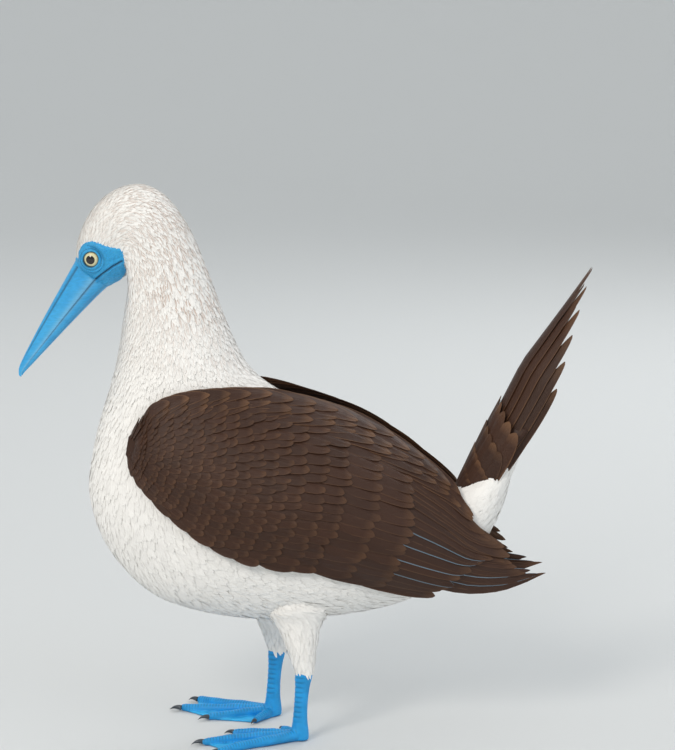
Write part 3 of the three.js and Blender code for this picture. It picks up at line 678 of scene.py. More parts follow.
def underWing(points, margin=13):  # hidden under a wing, well in from its edge
    flat = points[..., [0, 2]]
    hidden = (np.abs(points[..., 1]) > 12) & (points[..., 0] < 112)
    straight = [[1, 0], [-1, 0], [0, 1], [0, -1]]
    slanting = [[0.7, 0.7], [-0.7, 0.7], [0.7, -0.7], [-0.7, -0.7]]
    for way in np.array(straight + slanting):
        hidden &= inside(flat + way * margin, wingOutline)
    return hidden


faceSet = {
    "outline": np.array([  # u, v of the bare skin's edge, from over the bill round the eye to the chin
        [45, 40], [31.6, 40], [31.2, 17.5], [29, 16.5], [25, 19.5], [19, 20], [12, 16.5], [8, 9], [4, 1],
        [-1, -8], [0, -14], [7, -19.5], [15, -22.5], [24, -23.5], [45, -26],
    ], float),
    "mouth": np.array([[36, -5], [26, -6.5], [16, -9.5], [8, -13]], float),
    "back": -118, "low": 372, "deep": -0.95,  # no face behind, below or under these
    "margin": 5.5,
}


def away(points, line):  # the least distance from flat points to a broken line
    least = np.full(points.shape[:-1], 1e9)
    for start, end in zip(line[:-1], line[1:]):
        share = np.clip(((points - start) @ (end - start)) / ((end - start) @ (end - start)), 0, 1)
        least = np.minimum(least, np.linalg.norm(points - start - share[..., None] * (end - start), axis=-1))
    return least


headTree = treeOf([cappedGrid(loftRings(fleshSet["head"], 8, flush))])


def onFace(points):  # on the bare face, further in from its edge than the margin
    rim = faceSet["outline"]
    place = headCoordinates(points)
    near = (points[:, 0] < faceSet["back"]) & (points[:, 2] > faceSet["low"])
    bare = inside(place, rim) & near & (away(place, rim[1:-1]) > faceSet["margin"])
    for i in np.flatnonzero(bare):  # where the neck stands over the face it is feathered
        at, out, _, _ = headTree.find_nearest(Vector(points[i]))
        bare[i] = (Vector(points[i]) - at).dot(out) < faceSet["deep"]
    return bare


# Contour feathers: small and narrow on the head, broad and soft on the breast and belly.
coatSet = {
    "head": {"length": 7.5, "half": 1.35, "apart": 1.5, "point": 0.75, "rise": 0.85},
    "neck": {"length": 12, "half": 2.2, "apart": 2.2, "point": 0.5, "rise": 1.0},
    "body": {"length": 20, "half": 3.5, "apart": 3.2, "point": 0.4, "rise": 1.15},
    "breast": (335, 235),  # z from neck to body
    "fine": 290,  # above this height the blades have fewer faces
    "ankle": 66, "tip": 15,  # no roots below this height, nor so near to the body's end
    "tail": (120, 172),  # x over which the under-tail coverts grow longer
}


def coatSize(points, title):  # a size of the coat, from head to neck to body
    z, x = points[..., 2], points[..., 0]
    alongHead = headCoordinates(points)[..., 0]
    toNeck = smoothStep(400, 350, z) * smoothStep(30, -10, alongHead)
    toNeck = np.maximum(toNeck, smoothStep(-120, -90, x) * smoothStep(440, 400, z))
    toBody = smoothStep(*coatSet["breast"], z)
    value = mix(coatSet["head"][title], coatSet["neck"][title], toNeck)
    return mix(value, coatSet["body"][title], toBody)


laySet = {"turn": 0.13, "length": (0.85, 1.12), "half": (0.88, 1.12), "rise": (0.85, 1.15),
          "blunt": 0.22, "bend": 0.05, "ragged": (-0.04, 0.06), "past": 7, "root": -0.5, "arch": 0.2}


def layOnBody(roots, size, rows, columns, seed):
    draw = np.random.default_rng(seed)
    at, out, flow, unwrap = body.settle(roots)
    turn = draw.normal(0, laySet["turn"], len(roots))[:, None]
    side = unit(np.cross(out, flow))
    flow = unit(flow * np.cos(turn) + side * np.sin(turn))
    side = unit(np.cross(out, flow))
    t = bladeRows(rows)
    length = size["length"] * draw.uniform(*laySet["length"], len(roots))
    half = size["half"] * draw.uniform(*laySet["half"], len(roots))
    width = np.array([outline(t, point, laySet["blunt"]) for point in size["point"]])
    along = length[:, None] * t
    across = (half[:, None] * width)[..., None] * np.linspace(-1, 1, columns + 1)
    bend = draw.normal(0, laySet["bend"], len(roots))[:, None] * along * t
    ragged = draw.uniform(*laySet["ragged"], (len(roots), 1, columns + 1))
    ragged = ragged * (length[:, None] * t**5)[..., None]
    guess = (at[:, None, None] + flow[:, None, None] * (along[..., None] + ragged)[..., None]
             + side[:, None, None] * (across + bend[..., None])[..., None])
    place, normal, way, _ = body.settle(guess)
    past = np.clip(((guess - place) * way).sum(-1, keepdims=True), 0, laySet["past"])
    place = place + way * past  # tips run on past the skin's ends
    rise = size["rise"] * draw.uniform(*laySet["rise"], len(roots))
    height = mix(laySet["root"], rise[:, None], t**0.75)[..., None]
    height = height - laySet["arch"] * (across / half[:, None, None]) ** 2
    return place + normal * height[..., None], normal, unwrap, t, across, along


def outsideFlesh(points):  # drops the tops of the shanks, which lie inside the belly
    kept = np.ones(len(points), bool)
    for i in np.flatnonzero((points[:, 2] < shankSet["top"]) & (np.abs(points[:, 0]) < shankSet["near"])):
        place, out, _, _ = bareTree.find_nearest(points[i])
        kept[i] = out.dot(Vector(points[i]) - place) > shankSet["deep"]
    return kept


def coverBody():
    tip = skinGrid[-1].mean(0)
    wanted = lambda p: (~onFace(p) & ~underWing(p) & (p[:, 2] > coatSet["ankle"])
                        & (np.linalg.norm(p - tip, axis=1) > coatSet["tip"]))
    roots = body.sow(lambda p: coatSize(p, "apart"), wanted, 11)
    roots = roots[outsideFlesh(roots)]
    upper = roots[:, 2] > coatSet["fine"]
    for name, slot, chosen, rows, columns in (("head_and_neck_feathers", "head_feathers", upper, 5, 2),
                                              ("body_feathers", "white_feathers", ~upper, 6, 4)):
        places = roots[chosen]
        size = {title: coatSize(places, title) for title in coatSet["body"]}
        _, out, _, unwrap = body.settle(places)
        tailEnd = smoothStep(*coatSet["tail"], places[:, 0])
        shank = (unwrap[:, 0] > shankSet["map"]) * 1.0
        size["length"] = size["length"] * (1 + 0.5 * tailEnd) * (1 - 0.3 * shank)
        draw = np.random.default_rng(5)
        brown = smoothStep(0.35, 0.65, brownAt(places, out) + draw.uniform(-0.3, 0.3, len(places)))
        toAnkle = places[:, 2] - draw.uniform(51, 60, len(places))  # a ragged end over the ankle
        size["length"] = np.where(shank > 0, np.minimum(size["length"], toAnkle), size["length"])
        size["half"] = size["half"] * (1 - 0.15 * tailEnd) * (1 - 0.5 * shank)
        size["rise"] = size["rise"] * (1 + 0.5 * tailEnd) * (1 - 0.3 * shank)
        laid = layOnBody(places, size, rows, columns, 21)
        makeFeathers(name, laid, 0.2, whitePlumage, slot,
                     {"tint": draw.random(len(places)), "fringe": 0.55 * brown, "brown": brown,
                      "streak": streakAt(laid[0]) * (draw.random(len(places)) < 0.45)[:, None, None]})


tipSet = {
    # The skin's ring, its number of feathers, how far they reach past the end, and how far off the axis.
    "rings": [(-15, 15, 6, 6.5), (-11, 13, 13, 5), (-7, 11, 19, 3.4), (-3, 8, 24, 1.8)],
    "bend": 2.2, "sunk": 0.6, "half": 4.6, "point": 0.45, "blunt": 0.15, "arch": 26, "length": 30,
}


def coverTip():  # the last under-tail coverts meet in a point, past the skin's end
    draw = np.random.default_rng(33)
    end, axis = skinGrid[-1].mean(0), unit(skinGrid[-2].mean(0) - skinGrid[-12].mean(0))
    t, roots, tops, outs = bladeRows(8), [], [], []
    share = t[None, :, None]
    across = outline(t, tipSet["point"], tipSet["blunt"])[None, :, None] * np.linspace(-1, 1, 5)
    across = tipSet["half"] * across
    for row, number, reach, off in tipSet["rings"]:
        turn = (np.arange(number) + draw.uniform(-0.3, 0.3, number)) / number * ringSides
        root = skinGrid[row][turn.astype(int) % ringSides]
        spoke = unit(root - skinGrid[row].mean(0))
        goal = end + axis * (reach + draw.uniform(-3, 3, number))[:, None] + spoke * off
        bend = mix(root, goal, 0.5) + spoke * tipSet["bend"]
        path = bent((root - tipSet["sunk"] * spoke)[:, None], bend[:, None], goal[:, None], share)
        along = unit(np.gradient(path, axis=1))
        out = unit(spoke[:, None] - along * (spoke[:, None] * along).sum(-1, keepdims=True))
        side = np.cross(out, along)
        tops.append(path[:, :, None] + side[:, :, None] * across[..., None]
                    - out[:, :, None] * (across**2 / tipSet["arch"])[..., None])
        outs.append(np.broadcast_to(out[:, :, None], tops[-1].shape))
        roots.append(root)
    roots, tops, outs = np.vstack(roots), np.vstack(tops), np.vstack(outs)
    laid = (tops, outs, body.settle(roots)[3], t, np.broadcast_to(across, tops.shape[:3]),
            np.broadcast_to(tipSet["length"] * t, tops.shape[:2]))
    makeFeathers("under_tail_coverts", laid, 0.2, whitePlumage, "white_feathers",
                 {"tint": draw.random(len(roots)), "fringe": 0.0, "brown": 0.0, "streak": 0.0})


coverBody()
coverTip()


# Wing: bone and muscle as one closed slab, with the feathers over it in tiers.
armSet = {"grid": (60, 24), "ends": (0.006, 0.8), "sunk": 3.4, "thick": (11, 2.6)}
wingMap = (0.02, 0.9)  # where the wing's s and v lie on the map OFBake
# How much the feathers differ, and the height and breadth of the shaft.
vaneSet = {"half": (0.94, 1.06), "bend": 0.02, "lift": 0.12, "shaft": (0.35, 0.8)}


def wingArm(side, name):
    rows, columns = armSet["grid"]
    share = np.linspace(0, 1, rows)[:, None]
    s = mix(*armSet["ends"], share) * np.ones((1, columns))
    v = mix(0.03 + 0.25 * share**2, 1 - 0.3 * share**3, np.linspace(0, 1, columns)[None, :])
    at, out = onWing(s, v)
    at = at - out * (armSet["sunk"] * np.minimum(1, 8 * share))[..., None]
    taper = 0.55 + 0.45 * np.sin(math.pi * np.linspace(0, 1, columns)) ** 0.5
    deep = mix(*armSet["thick"], share**1.5) * np.minimum(1, 0.4 + 5 * share) * taper
    inner = at - out * deep[..., None]
    points, triangles = cappedGrid(np.concatenate([at, inner[:, ::-1]], 1))
    places = np.concatenate([np.stack([s, v], -1), np.stack([s, v + 0.01], -1)[:, ::-1]], 1).reshape(-1, 2)
    places = np.vstack([places, [[0, 0], [1, 1]]])
    if side < 0:
        points, triangles = points * [1, -1, 1], triangles[:, ::-1]
    makeFlesh(f"wing_{name}_arm", points, triangles, brownPlumage, "brown_feathers", (f"wing_{name}",),
              1, 0, wingMap[0] + wingMap[1] * places)


def layOnWing(path, size, rows, columns, seed):  # path is s0, v0, s1, v1 for each feather
    draw = np.random.default_rng(seed)
    s0, v0, s1, v1 = path.T
    count = len(path)
    t = bladeRows(rows)
    a = np.linspace(-1, 1, columns + 1)
    length = np.linalg.norm(onWing(s1, v1)[0] - onWing(s0, v0)[0], axis=1)
    sized = {title: np.broadcast_to(value, count).astype(float) for title, value in size.items()}
    width = np.array([outline(t, point) for point in sized["point"]])
    half = sized["half"] * draw.uniform(*vaneSet["half"], count)
    across = (half[:, None] * width)[..., None] * a
    bend = draw.normal(0, vaneSet["bend"], count)[:, None] * t**2 * length[:, None]
    s, v = mix(s0[:, None], s1[:, None], t), mix(v0[:, None], v1[:, None], t)
    row = np.minimum((np.clip(s, 0, 1) * wingSet["rows"]).astype(int), wingSet["rows"])
    v = v[..., None] + (across + bend[..., None]) / wingBreadth[row][..., None]
    place, out = onWing(s[..., None] + 0 * v, v)
    rise = mix(sized["root"][:, None], sized["tip"][:, None], t**0.8)[..., None]
    camber = sized["camber"][:, None, None] * (1 - a**2) * np.sin(math.pi * np.minimum(t * 1.1, 1))[:, None]
    tilt = sized["tilt"][:, None, None] * a * width[..., None]
    high, broad = vaneSet["shaft"]
    shaft = high * np.exp(-((a * half[:, None, None]) / broad) ** 2)
    height = rise + camber + tilt + shaft + draw.normal(0, vaneSet["lift"], count)[:, None, None]
    return place + out * height[..., None], out, np.stack([s0, v0], -1), t, across, length[:, None] * t


def rowOf(count, s0, s1, ends):  # one row of feathers over the wing's breadth, bowed back in its middle
    v = mix(*ends, np.linspace(0, 1, count))
    lean = 0.028 * np.sin(math.pi * v)
    return np.stack([s0 + lean, v, s1 + lean, v], -1)


def swept(count, s0, v0, s1, v1, ease=1.0):  # feathers whose ends each run from one value to another
    share = np.linspace(0, 1, count)
    return np.stack([mix(*s0, share), mix(*v0, share), mix(*s1, share**ease), mix(*v1, share)], -1)


# Tiers of coverts from the wrist back: number, root and tip of each row, and sizes of its feathers.
tierSet = [
    {"rows": [(13 + k, 0.003 + 0.0155 * k, 0.058 + 0.0165 * k) for k in range(8)],
     "half": 5.2, "tip": 2.3, "v": (0.02, 0.97)},  # marginal
    {"rows": [(20, 0.122 + 0.021 * k, 0.194 + 0.0225 * k) for k in range(8)],
     "half": 6.2, "tip": 2.2, "v": (0.04, 0.965)},  # lesser
    {"rows": [(18, 0.28 + 0.032 * k, 0.378 + 0.036 * k) for k in range(3)],
     "half": 7, "tip": 1.9, "v": (0.06, 0.95)},  # median
    {"rows": [(16, 0.36, 0.515), (16, 0.4, 0.585)],
     "half": 8.6, "tip": 1.5, "v": (0.1, 0.93)},  # greater
]
common = {"point": 0.1, "root": -3.2, "camber": 0.9, "tilt": 0.9}


def wingFeathers():
    tiers = []
    draw = np.random.default_rng(8)
    for tier in tierSet:
        first, last = tier["v"]
        paths = [rowOf(*row, tier["v"]) for row in tier["rows"]]
        for k, path in enumerate(paths):  # each second row lies half a feather further down
            path[:, [1, 3]] += (0.5 if k % 2 else 0) / len(path) * (last - first) * 0.9
            path[:, [0, 2]] += draw.normal(0, 0.0025, (len(path), 2))
            path[:, [1, 3]] += draw.normal(0, 0.004, (len(path), 2))
        tiers.append(("coverts", np.vstack(paths), {**common, "half": tier["half"], "tip": tier["tip"]}))
    primaries = swept(10, (0.6, 0.6), (0.34, 0.9), (0.87, 1.0), (0.34, 0.66), 0.8)
    secondaries = swept(13, (0.47, 0.47), (0.26, 0.95), (0.86, 0.69), (0.28, 0.95))
    tertials = swept(13, (0.4, 0.49), (0.1, 0.26), (0.76, 0.88), (0.1, 0.3))[::2]
    tiers.append(("flight", primaries, {**common, "half": 7.5, "point": 0.55, "camber": 0.7, "tilt": 1.3,
                                        "tip": mix(-0.6, -3.0, np.linspace(0, 1, 10))}))
    tiers.append(("flight", secondaries, {**common, "half": 9.5, "point": 0.3, "tip": 0.8, "tilt": 1.7}))
    tiers.append(("flight", tertials, {**common, "half": 10, "point": 0.35, "tip": 1.7, "tilt": 1.2}))
    for depth, half, tip in ((0.0, 7.5, 3.4), (0.055, 8, 3.0), (0.11, 8, 2.6)):
        path = swept(18, (0.03, 0.53), (0.03 + depth,) * 2, (0.14, 0.76), (0.035 + 0.6 * depth,) * 2)
        tiers.append(("scapulars", path, {**common, "half": half, "point": 0.45, "tip": tip, "tilt": 0.6}))
    return tiers


def gathered(lots):  # several lots of laid feathers as one
    whole = [np.concatenate(group) for group in zip(*lots)]
    whole[3] = lots[0][3]  # the shares of the length are the same for all
    return whole


worn = {"coverts": 0.35, "flight": 0.45, "scapulars": 0.7}  # how strong the pale fringes are


def coverWings():
    laid = {kind: gathered([layOnWing(path, size, 12, 6, 100 + number)
                            for number, (name, path, size) in enumerate(wingFeathers()) if name == kind])
            for kind in worn}
    for side, title in sides:
        wingArm(side, title)
        for kind, (top, out, root, t, across, along) in laid.items():
            if side < 0:
                top, out, across = (n[:, :, ::-1] * flip for n, flip in
                                    ((top, [1, -1, 1]), (out, [1, -1, 1]), (across, 1)))
            draw = np.random.default_rng(40)
            count = len(top)
            cool = np.zeros(count)
            if kind == "flight":
                cool[[5, 7, 13, 15, 17, 19]] = 1  # blue-grey edges that cross the folded wing's end
            makeFeathers(f"wing_{title}_{kind}",
                         (top, out, wingMap[0] + wingMap[1] * root, t, across, along), 0.45,
                         brownPlumage, "brown_feathers",
                         {"tint": draw.random(count),
                          "fringe": np.maximum(worn[kind] * draw.uniform(0.6, 1, count), cool),
                          "brown": 1.0, "streak": 0.0, "cool": cool})


coverWings()


# Tail: an arch of long stiff feathers in steps, with coverts over and under its root.
tailSet = {
    "root": (126, 0, 197), "pitch": 52, "length": 232, "wide": 33, "high": 42, "sunk": 19, "fan": 78,
    "feathers": 12, "half": 9.5, "step": 15,
    "coverts": [(96, 9), (74, 10), (52, 11), (34, 12)],  # reach and number of each ring
    "covert": {"half": 8.5, "layer": (-1.6, -0.9), "point": 0.25},
    "core": 0.38,  # the fleshy core's share of the tail's length
}
tailTurn = math.radians(tailSet["pitch"])
tailAlong = np.array([math.cos(tailTurn), 0, math.sin(tailTurn)])
tailOut = np.array([-math.sin(tailTurn), 0, math.cos(tailTurn)])


def layOnTail(angle, length, half, layer, point, rows=20, columns=6):
    t = bladeRows(rows)[None, :, None]
    a = np.linspace(-1, 1, columns + 1)[None, None, :]
    angle, length, half, layer = (np.broadcast_to(n, len(angle)).astype(float)[:, None, None]
                                  for n in (angle, length, half, layer))
    away = t * length
    share = away / tailSet["length"]
    spread = mix(0.42, 1, np.minimum(1, 1.8 * share)) * (1 - 0.12 * share)
    across = half * outline(t, point) * a
    turned = angle + across / (tailSet["wide"] * spread * 1.05)
    reach = spread - 0.045 * layer * np.minimum(1, 3 * share)
    at = np.array(tailSet["root"]) + away[..., None] * tailAlong + 0 * across[..., None]
    at[..., 1] += tailSet["wide"] * reach * np.sin(turned)
    rise = tailSet["high"] * reach * np.cos(turned) - tailSet["sunk"] + 10 * share**2
    rise = rise + 0.4 * np.exp(-((across / 0.9) ** 2)) + 0.8 * (1 - a**2) * np.sin(math.pi * t)
    at = at + rise[..., None] * tailOut
    out = unit(np.stack([0 * turned, np.sin(turned), 0 * turned], -1) + np.cos(turned)[..., None] * tailOut)
    onMap = 0.5 + 0.3 * np.sin(angle[:, 0, 0]) + 0.02 * layer[:, 0, 0]
    root = np.stack([onMap, np.full(len(angle), 0.1)], -1)
    return at, out, root, t[0, :, 0], across, away[..., 0]


def tailCore(fan):  # holds the feathers' roots
    rows = np.linspace(0, 1, 30)[:, None]
    stations = [0, 0.26, 0.53, 0.79, 1]
    spread = np.interp(rows, stations, [0.46, 0.58, 0.66, 0.7, 0.62])
    depth = np.interp(rows, stations, [0.3, 0.26, 0.2, 0.12, 0.03])
    arc = np.linspace(-fan, fan, 24)
    sheets = []
    for reach, turn in ((spread, arc), (spread - depth, arc[::-1])):
        along = (rows * tailSet["core"] * tailSet["length"])[..., None] * tailAlong
        at = np.array(tailSet["root"]) + along + 0 * turn[None, :, None]
        at[..., 1] += tailSet["wide"] * reach * np.sin(turn)
        rise = tailSet["high"] * reach * np.cos(turn) - tailSet["sunk"]
        sheets.append(at + rise[..., None] * tailOut)
    points, triangles = cappedGrid(np.concatenate(sheets, 1))
    makeFlesh("tail_core", points, triangles, brownPlumage, "brown_feathers", (), 1, 0)


def coverTail():
    fan, count = math.radians(tailSet["fan"]), tailSet["feathers"]
    rank = np.floor(np.abs(np.arange(count) - (count - 1) / 2))
    length = tailSet["length"] - 6 - tailSet["step"] * rank**1.15
    quills = [layOnTail(np.linspace(-fan, fan, count), length, tailSet["half"], rank, 0.5)]
    coverts, covert = [], tailSet["covert"]
    first, step = covert["layer"]
    for ring, (reach, number) in enumerate(tailSet["coverts"]):
        angle = np.linspace(-fan, fan, number) * 0.9 + (0.06 if ring % 2 else 0)
        coverts.append(layOnTail(angle, reach - 12 * np.abs(angle), covert["half"], first + step * ring,
                                 covert["point"]))
    draw = np.random.default_rng(60)
    for name, lots, replaced in (("tail_feathers", quills, ("tail",)), ("tail_coverts", coverts, ())):
        laid = gathered(lots)
        many = len(laid[0])
        makeFeathers(name, laid, 0.5, brownPlumage, "brown_feathers",
                     {"tint": draw.random(many), "fringe": 0.5 * draw.random(many) + 0.2, "brown": 1.0,
                      "streak": 0.0}, replaced)
    tailCore(fan)


coverTail()


# Legs: scaled skin over a slim tarsus, four toes and the web between them.
legSet = {
    "turn": 12, "deep": 13, "wide": 10,
    "toes": [  # angle, length, radius, length of the claw
        (-72, 30, 3.2, 6), (-27, 58, 3.6, 8), (-2, 82, 4.0, 9), (20, 80, 3.8, 8),
    ],
    "tarsus": [  # height, swelling
        [0.8, 1.1], [4, 1.16], [8, 1.14], [18, 0.94], [32, 0.86], [46, 0.94], [53, 1.08], [57, 1.1],
        [62, 0.95], [68, 0.8],
    ],
    "hollows": (0.78, 0.84, 0.84),  # how far out each web reaches between its toes
    "web": 1.9,
    "voxel": 0.75,
    "foot": 16,  # below this height the plates run along the toes, above it up the leg
    "plates": (2.6, 4.2),  # their lengths there
}


def footPoint(side, angle, distance, z):
    turned = np.radians(angle) + math.radians(legSet["turn"])
    x = shankSet["feet"][side] - distance * np.cos(turned)
    return np.stack(np.broadcast_arrays(x, side * (shankSet["stance"] + distance * np.sin(turned)), z), -1)


def tube(path, radii, around, flat=1.0):  # closed points and faces of a tube along a path
    along = unit(np.gradient(path, axis=0))
    level = unit(np.cross(along, [0, 0, 1]))
    up = np.cross(level, along)
    turn = fullTurn(around)
    ring = (level[:, None] * np.cos(turn)[None, :, None] + flat * up[:, None] * np.sin(turn)[None, :, None])
    return cappedGrid(path[:, None] + ring * np.asarray(radii)[:, None, None])


def toeSolid(side, toe):
    angle, length, radius, _ = toe
    share = np.linspace(0, 1, 40)
    knuckles = 0.13 * np.exp(-((share - 0.4) / 0.07) ** 2) + 0.11 * np.exp(-((share - 0.72) / 0.06) ** 2)
    taper = mix(1.16, 0.76, share) * np.sqrt(1 - 0.8 * np.clip((share - 0.93) / 0.07, 0, 1) ** 2)
    sway = 1.2 * np.sin(2.4 * math.pi * share) * (abs(angle) < 60)
    height = mix(5.2, 2.9, share**0.8) + 0.5 * np.sin(math.pi * share)
    path = footPoint(side, angle + sway, share * length, height)
    return tube(path, radius * (1.04 + knuckles) * taper * 0.97, 20)


def webSolid(side):
    tips = [(angle, length - 1) for angle, length, _, _ in legSet["toes"]]
    share = np.linspace(0, 1, 30)[:, None]
    rim = []
    for (a0, l0), (a1, l1), hollow in zip(tips, tips[1:], legSet["hollows"]):
        middle = footPoint(side, (a0 + a1) / 2, 0.5 * (l0 + l1) * hollow, 0)
        rim.append(bent(footPoint(side, a0, l0, 0), middle, footPoint(side, a1, l1, 0), share))
    rim = np.vstack(rim)[:, :2]
    heel = footPoint(side, 180, 5, 0)[:2]
    plan = mix(heel[None, None], rim[None], np.linspace(0, 1, 46)[:, None, None])
    reach = np.linalg.norm(plan - footPoint(side, 0, 0, 0)[:2], axis=-1)
    ripple = 0.28 * np.sin(0.55 * reach + 2 * np.sin(reach / 9))
    top = np.concatenate([plan, (legSet["web"] + ripple)[..., None]], -1)
    bottom = np.concatenate([plan, np.full_like(reach, 0.12)[..., None]], -1)
    return cappedGrid(np.concatenate([top, bottom[:, ::-1]], 1))


def tarsusSolid(side):
    rows = through(legSet["tarsus"], np.linspace(0, len(legSet["tarsus"]) - 1, 60))
    z, swell = rows.T
    middles = np.stack([shankSet["feet"][side] + 4 * (z / shankSet["ankle"]) ** 2,
                        side * shankSet["stance"] + 0 * z, z], -1)
    return cappedGrid(tubeRings(middles, 0.5 * legSet["deep"] * swell, 0.5 * legSet["wide"] * swell, 32))


def remeshed(solids, voxel, rounds):  # closed solids fused into one even skin: points, quads, normals
    points, faces = joined(solids)
    mesh = bpy.data.meshes.new("rough")
    mesh.from_pydata(points.tolist(), [], faces.tolist())
    rough = placed("rough", mesh)
    fuse = rough.modifiers.new("fuse", "REMESH")
    fuse.mode, fuse.voxel_size = "VOXEL", voxel
    ease = rough.modifiers.new("ease", "SMOOTH")
    ease.factor, ease.iterations = 0.5, rounds
    fused = rough.evaluated_get(bpy.context.evaluated_depsgraph_get()).to_mesh()
    at, out = np.zeros(len(fused.vertices) * 3), np.zeros(len(fused.vertices) * 3)
    corners = np.zeros(len(fused.loops), int)
    fused.vertices.foreach_get("co", at)
    fused.vertices.foreach_get("normal", out)
    fused.loops.foreach_get("vertex_index", corners)
    bpy.data.objects.remove(rough)
    bpy.data.meshes.remove(mesh)
    return at.reshape(-1, 3), corners.reshape(-1, 4), out.reshape(-1, 3)


# Bare skin of the foot, grown as small horny plates over blue fibres. It looks slightly waxy: highlights
# are soft and break up at the plates, their seams are darker, and the thin web is lighter.
def footSkin():
    material, tree, surface = newMaterial("scaled_foot_skin_blue", Roughness=0.46, IOR=1.45,
                                          Subsurface_Weight=0.12, Subsurface_Scale=0.004)
    marks = {mark: add(tree, "Attribute", attribute_name=mark).outputs["Fac"] for mark in ("web", "seam")}
    place = add(tree, "TexCoord").outputs["Object"]
    pebbles = add(tree, "TexVoronoi", {"Vector": place, "Scale": 900.0}, feature="DISTANCE_TO_EDGE")  # 1.1 mm
    cloud = add(tree, "TexNoise", {"Vector": place, "Scale": 90.0, "Detail": 4.0})
    web = add(tree, "Mix", {0: marks["web"], 6: colour("#1f9fe4"), 7: colour("#38b8f4")}, data_type="RGBA")
    dim = add(tree, "MapRange", {0: cloud, 1: 0.35, 2: 0.7, 3: 0.86, 4: 1.1})
    seam = add(tree, "MapRange", {0: marks["seam"], 3: 1.0, 4: 0.62})
    both = add(tree, "Math", {0: dim, 1: seam}, operation="MULTIPLY")
    final = add(tree, "VectorMath", {0: web, "Scale": both}, operation="SCALE")
    tree.links.new(final.outputs[0], surface.inputs["Base Color"])
    fine = add(tree, "MapRange", {0: pebbles, 1: 0.0, 2: 0.25, 3: 0.0, 4: 1.0})
    bump = add(tree, "Bump", {"Strength": 0.5, "Distance": 0.00015, "Height": fine})
    tree.links.new(bump.outputs[0], surface.inputs["Normal"])
    return material


# Claw horn, layered keratin worn smooth on rock: nearly black and half glossy, with paler cloudy wear.
def clawHorn():
    material, tree, surface = newMaterial("claw_horn_dark", Roughness=0.32, IOR=1.55)
    place = add(tree, "TexCoord").outputs["Object"]
    grain = add(tree, "TexNoise", {"Vector": place, "Scale": 400.0, "Detail": 3.0})
    tone = add(tree, "Mix", {0: grain, 6: colour("#23282e"), 7: colour("#4b5560")}, data_type="RGBA")
    tree.links.new(tone.outputs[2], surface.inputs["Base Color"])
    return material


def nearestToe(side, at):  # the distance to a toe's line in its radii, and how far along the toe
    nearest, reach = np.full(len(at), 99.0), np.zeros(len(at))
    for angle, length, radius, _ in legSet["toes"]:
        start, end = footPoint(side, angle, 0, 0)[:2], footPoint(side, angle, length, 0)[:2]
        share = np.clip(((at[:, :2] - start) @ (end - start)) / length**2, 0, 1)
        off = np.linalg.norm(at[:, :2] - start - share[:, None] * (end - start), axis=1) / radius
        reach = np.where(off < nearest, share * length, reach)
        nearest = np.minimum(nearest, off)
    return nearest, reach


def buildLeg(side, name, skin):
    solids = [tarsusSolid(side), webSolid(side)] + [toeSolid(side, toe) for toe in legSet["toes"]]
    at, quads, out = remeshed(solids, legSet["voxel"], 3)
    nearest, reach = nearestToe(side, at)
    low = at[:, 2] < legSet["foot"]
    onToe = (1 - smoothStep(0.7, 1.15, nearest)) * low * smoothStep(0, 0.5, out[:, 2])
    onLeg = smoothStep(15, 20, at[:, 2]) * smoothStep(0.35, -0.2, out[:, 0])
    plated = np.maximum(onToe, onLeg)
    toePlate, legPlate = legSet["plates"]
    step = np.where(low, reach / toePlate, at[:, 2] / legPlate) % 1
    seam = np.exp(-((np.minimum(step, 1 - step) * 2.6) / 0.42) ** 2) * plated
    at = at + out * (0.22 * plated * (1 - seam) - 0.1 * seam)[:, None]
    at[:, 2] = np.maximum(at[:, 2], 0.0)
    fromHeel = np.linalg.norm(at[:, :2] - footPoint(side, 0, 0, 0)[:2], axis=1)
    web = smoothStep(1.0, 1.5, nearest) * smoothStep(9, 16, fromHeel)
    makePiece(f"leg_{name}", at, quads, skin, "foot_skin", (f"tarsus_{name}", f"foot_{name}"), None,
              {"web": web, "seam": seam})


def buildClaws(side, name, horn):
    claws = []
    share = np.linspace(0, 1, 16)
    for angle, length, radius, claw in legSet["toes"]:
        z = 2.9 + 1.0 * np.sin(math.pi * share * 0.8) - 2.4 * share**2.2
        path = footPoint(side, angle, length - 1.6 + share * (claw + 1.6), z)
        points, faces = tube(path, radius * np.maximum(0.62 * (1 - share**1.6), 0.05), 14, 0.9)
        points[:, 2] = np.maximum(points[:, 2], 0.06)
        claws.append((points, faces))
    makePiece(f"claws_{name}", *joined(claws), horn, "claw",
              tuple(f"claw_{toe}_{name}" for toe in ("first", "second", "third", "fourth")))


skin, horn = footSkin(), clawHorn()
for side, name in sides:
    buildLeg(side, name, skin)
    buildClaws(side, name, horn)
print("legs and feet done")


# Bill: two halves of a long cone with a fine saw edge, a side groove and a drooping tip.
billSet = {
    "length": 105,
    "gap": 0.3, "lap": 0.7,  # the lower half's edges close inside the upper half's
    "stations": [  # share, culmen, mouth, keel, half width
        [0, 17, -5, -17, 13.5], [0.12, 15.2, -4.6, -15, 11.8], [0.3, 12.4, -4.2, -12.8, 9.4],
        [0.5, 9.2, -4, -10.6, 7.2], [0.7, 5.6, -3.9, -8.6, 5.2], [0.86, 2.4, -3.9, -7, 3.4],
        [0.95, 0, -4.4, -6, 2], [1, -3.6, -6.4, -6.2, 0.7],
    ],
    "saw": 1.3, "tooth": 0.16,  # length of a tooth of the cutting edge, and twice its depth
    "grid": (150, 72),
}
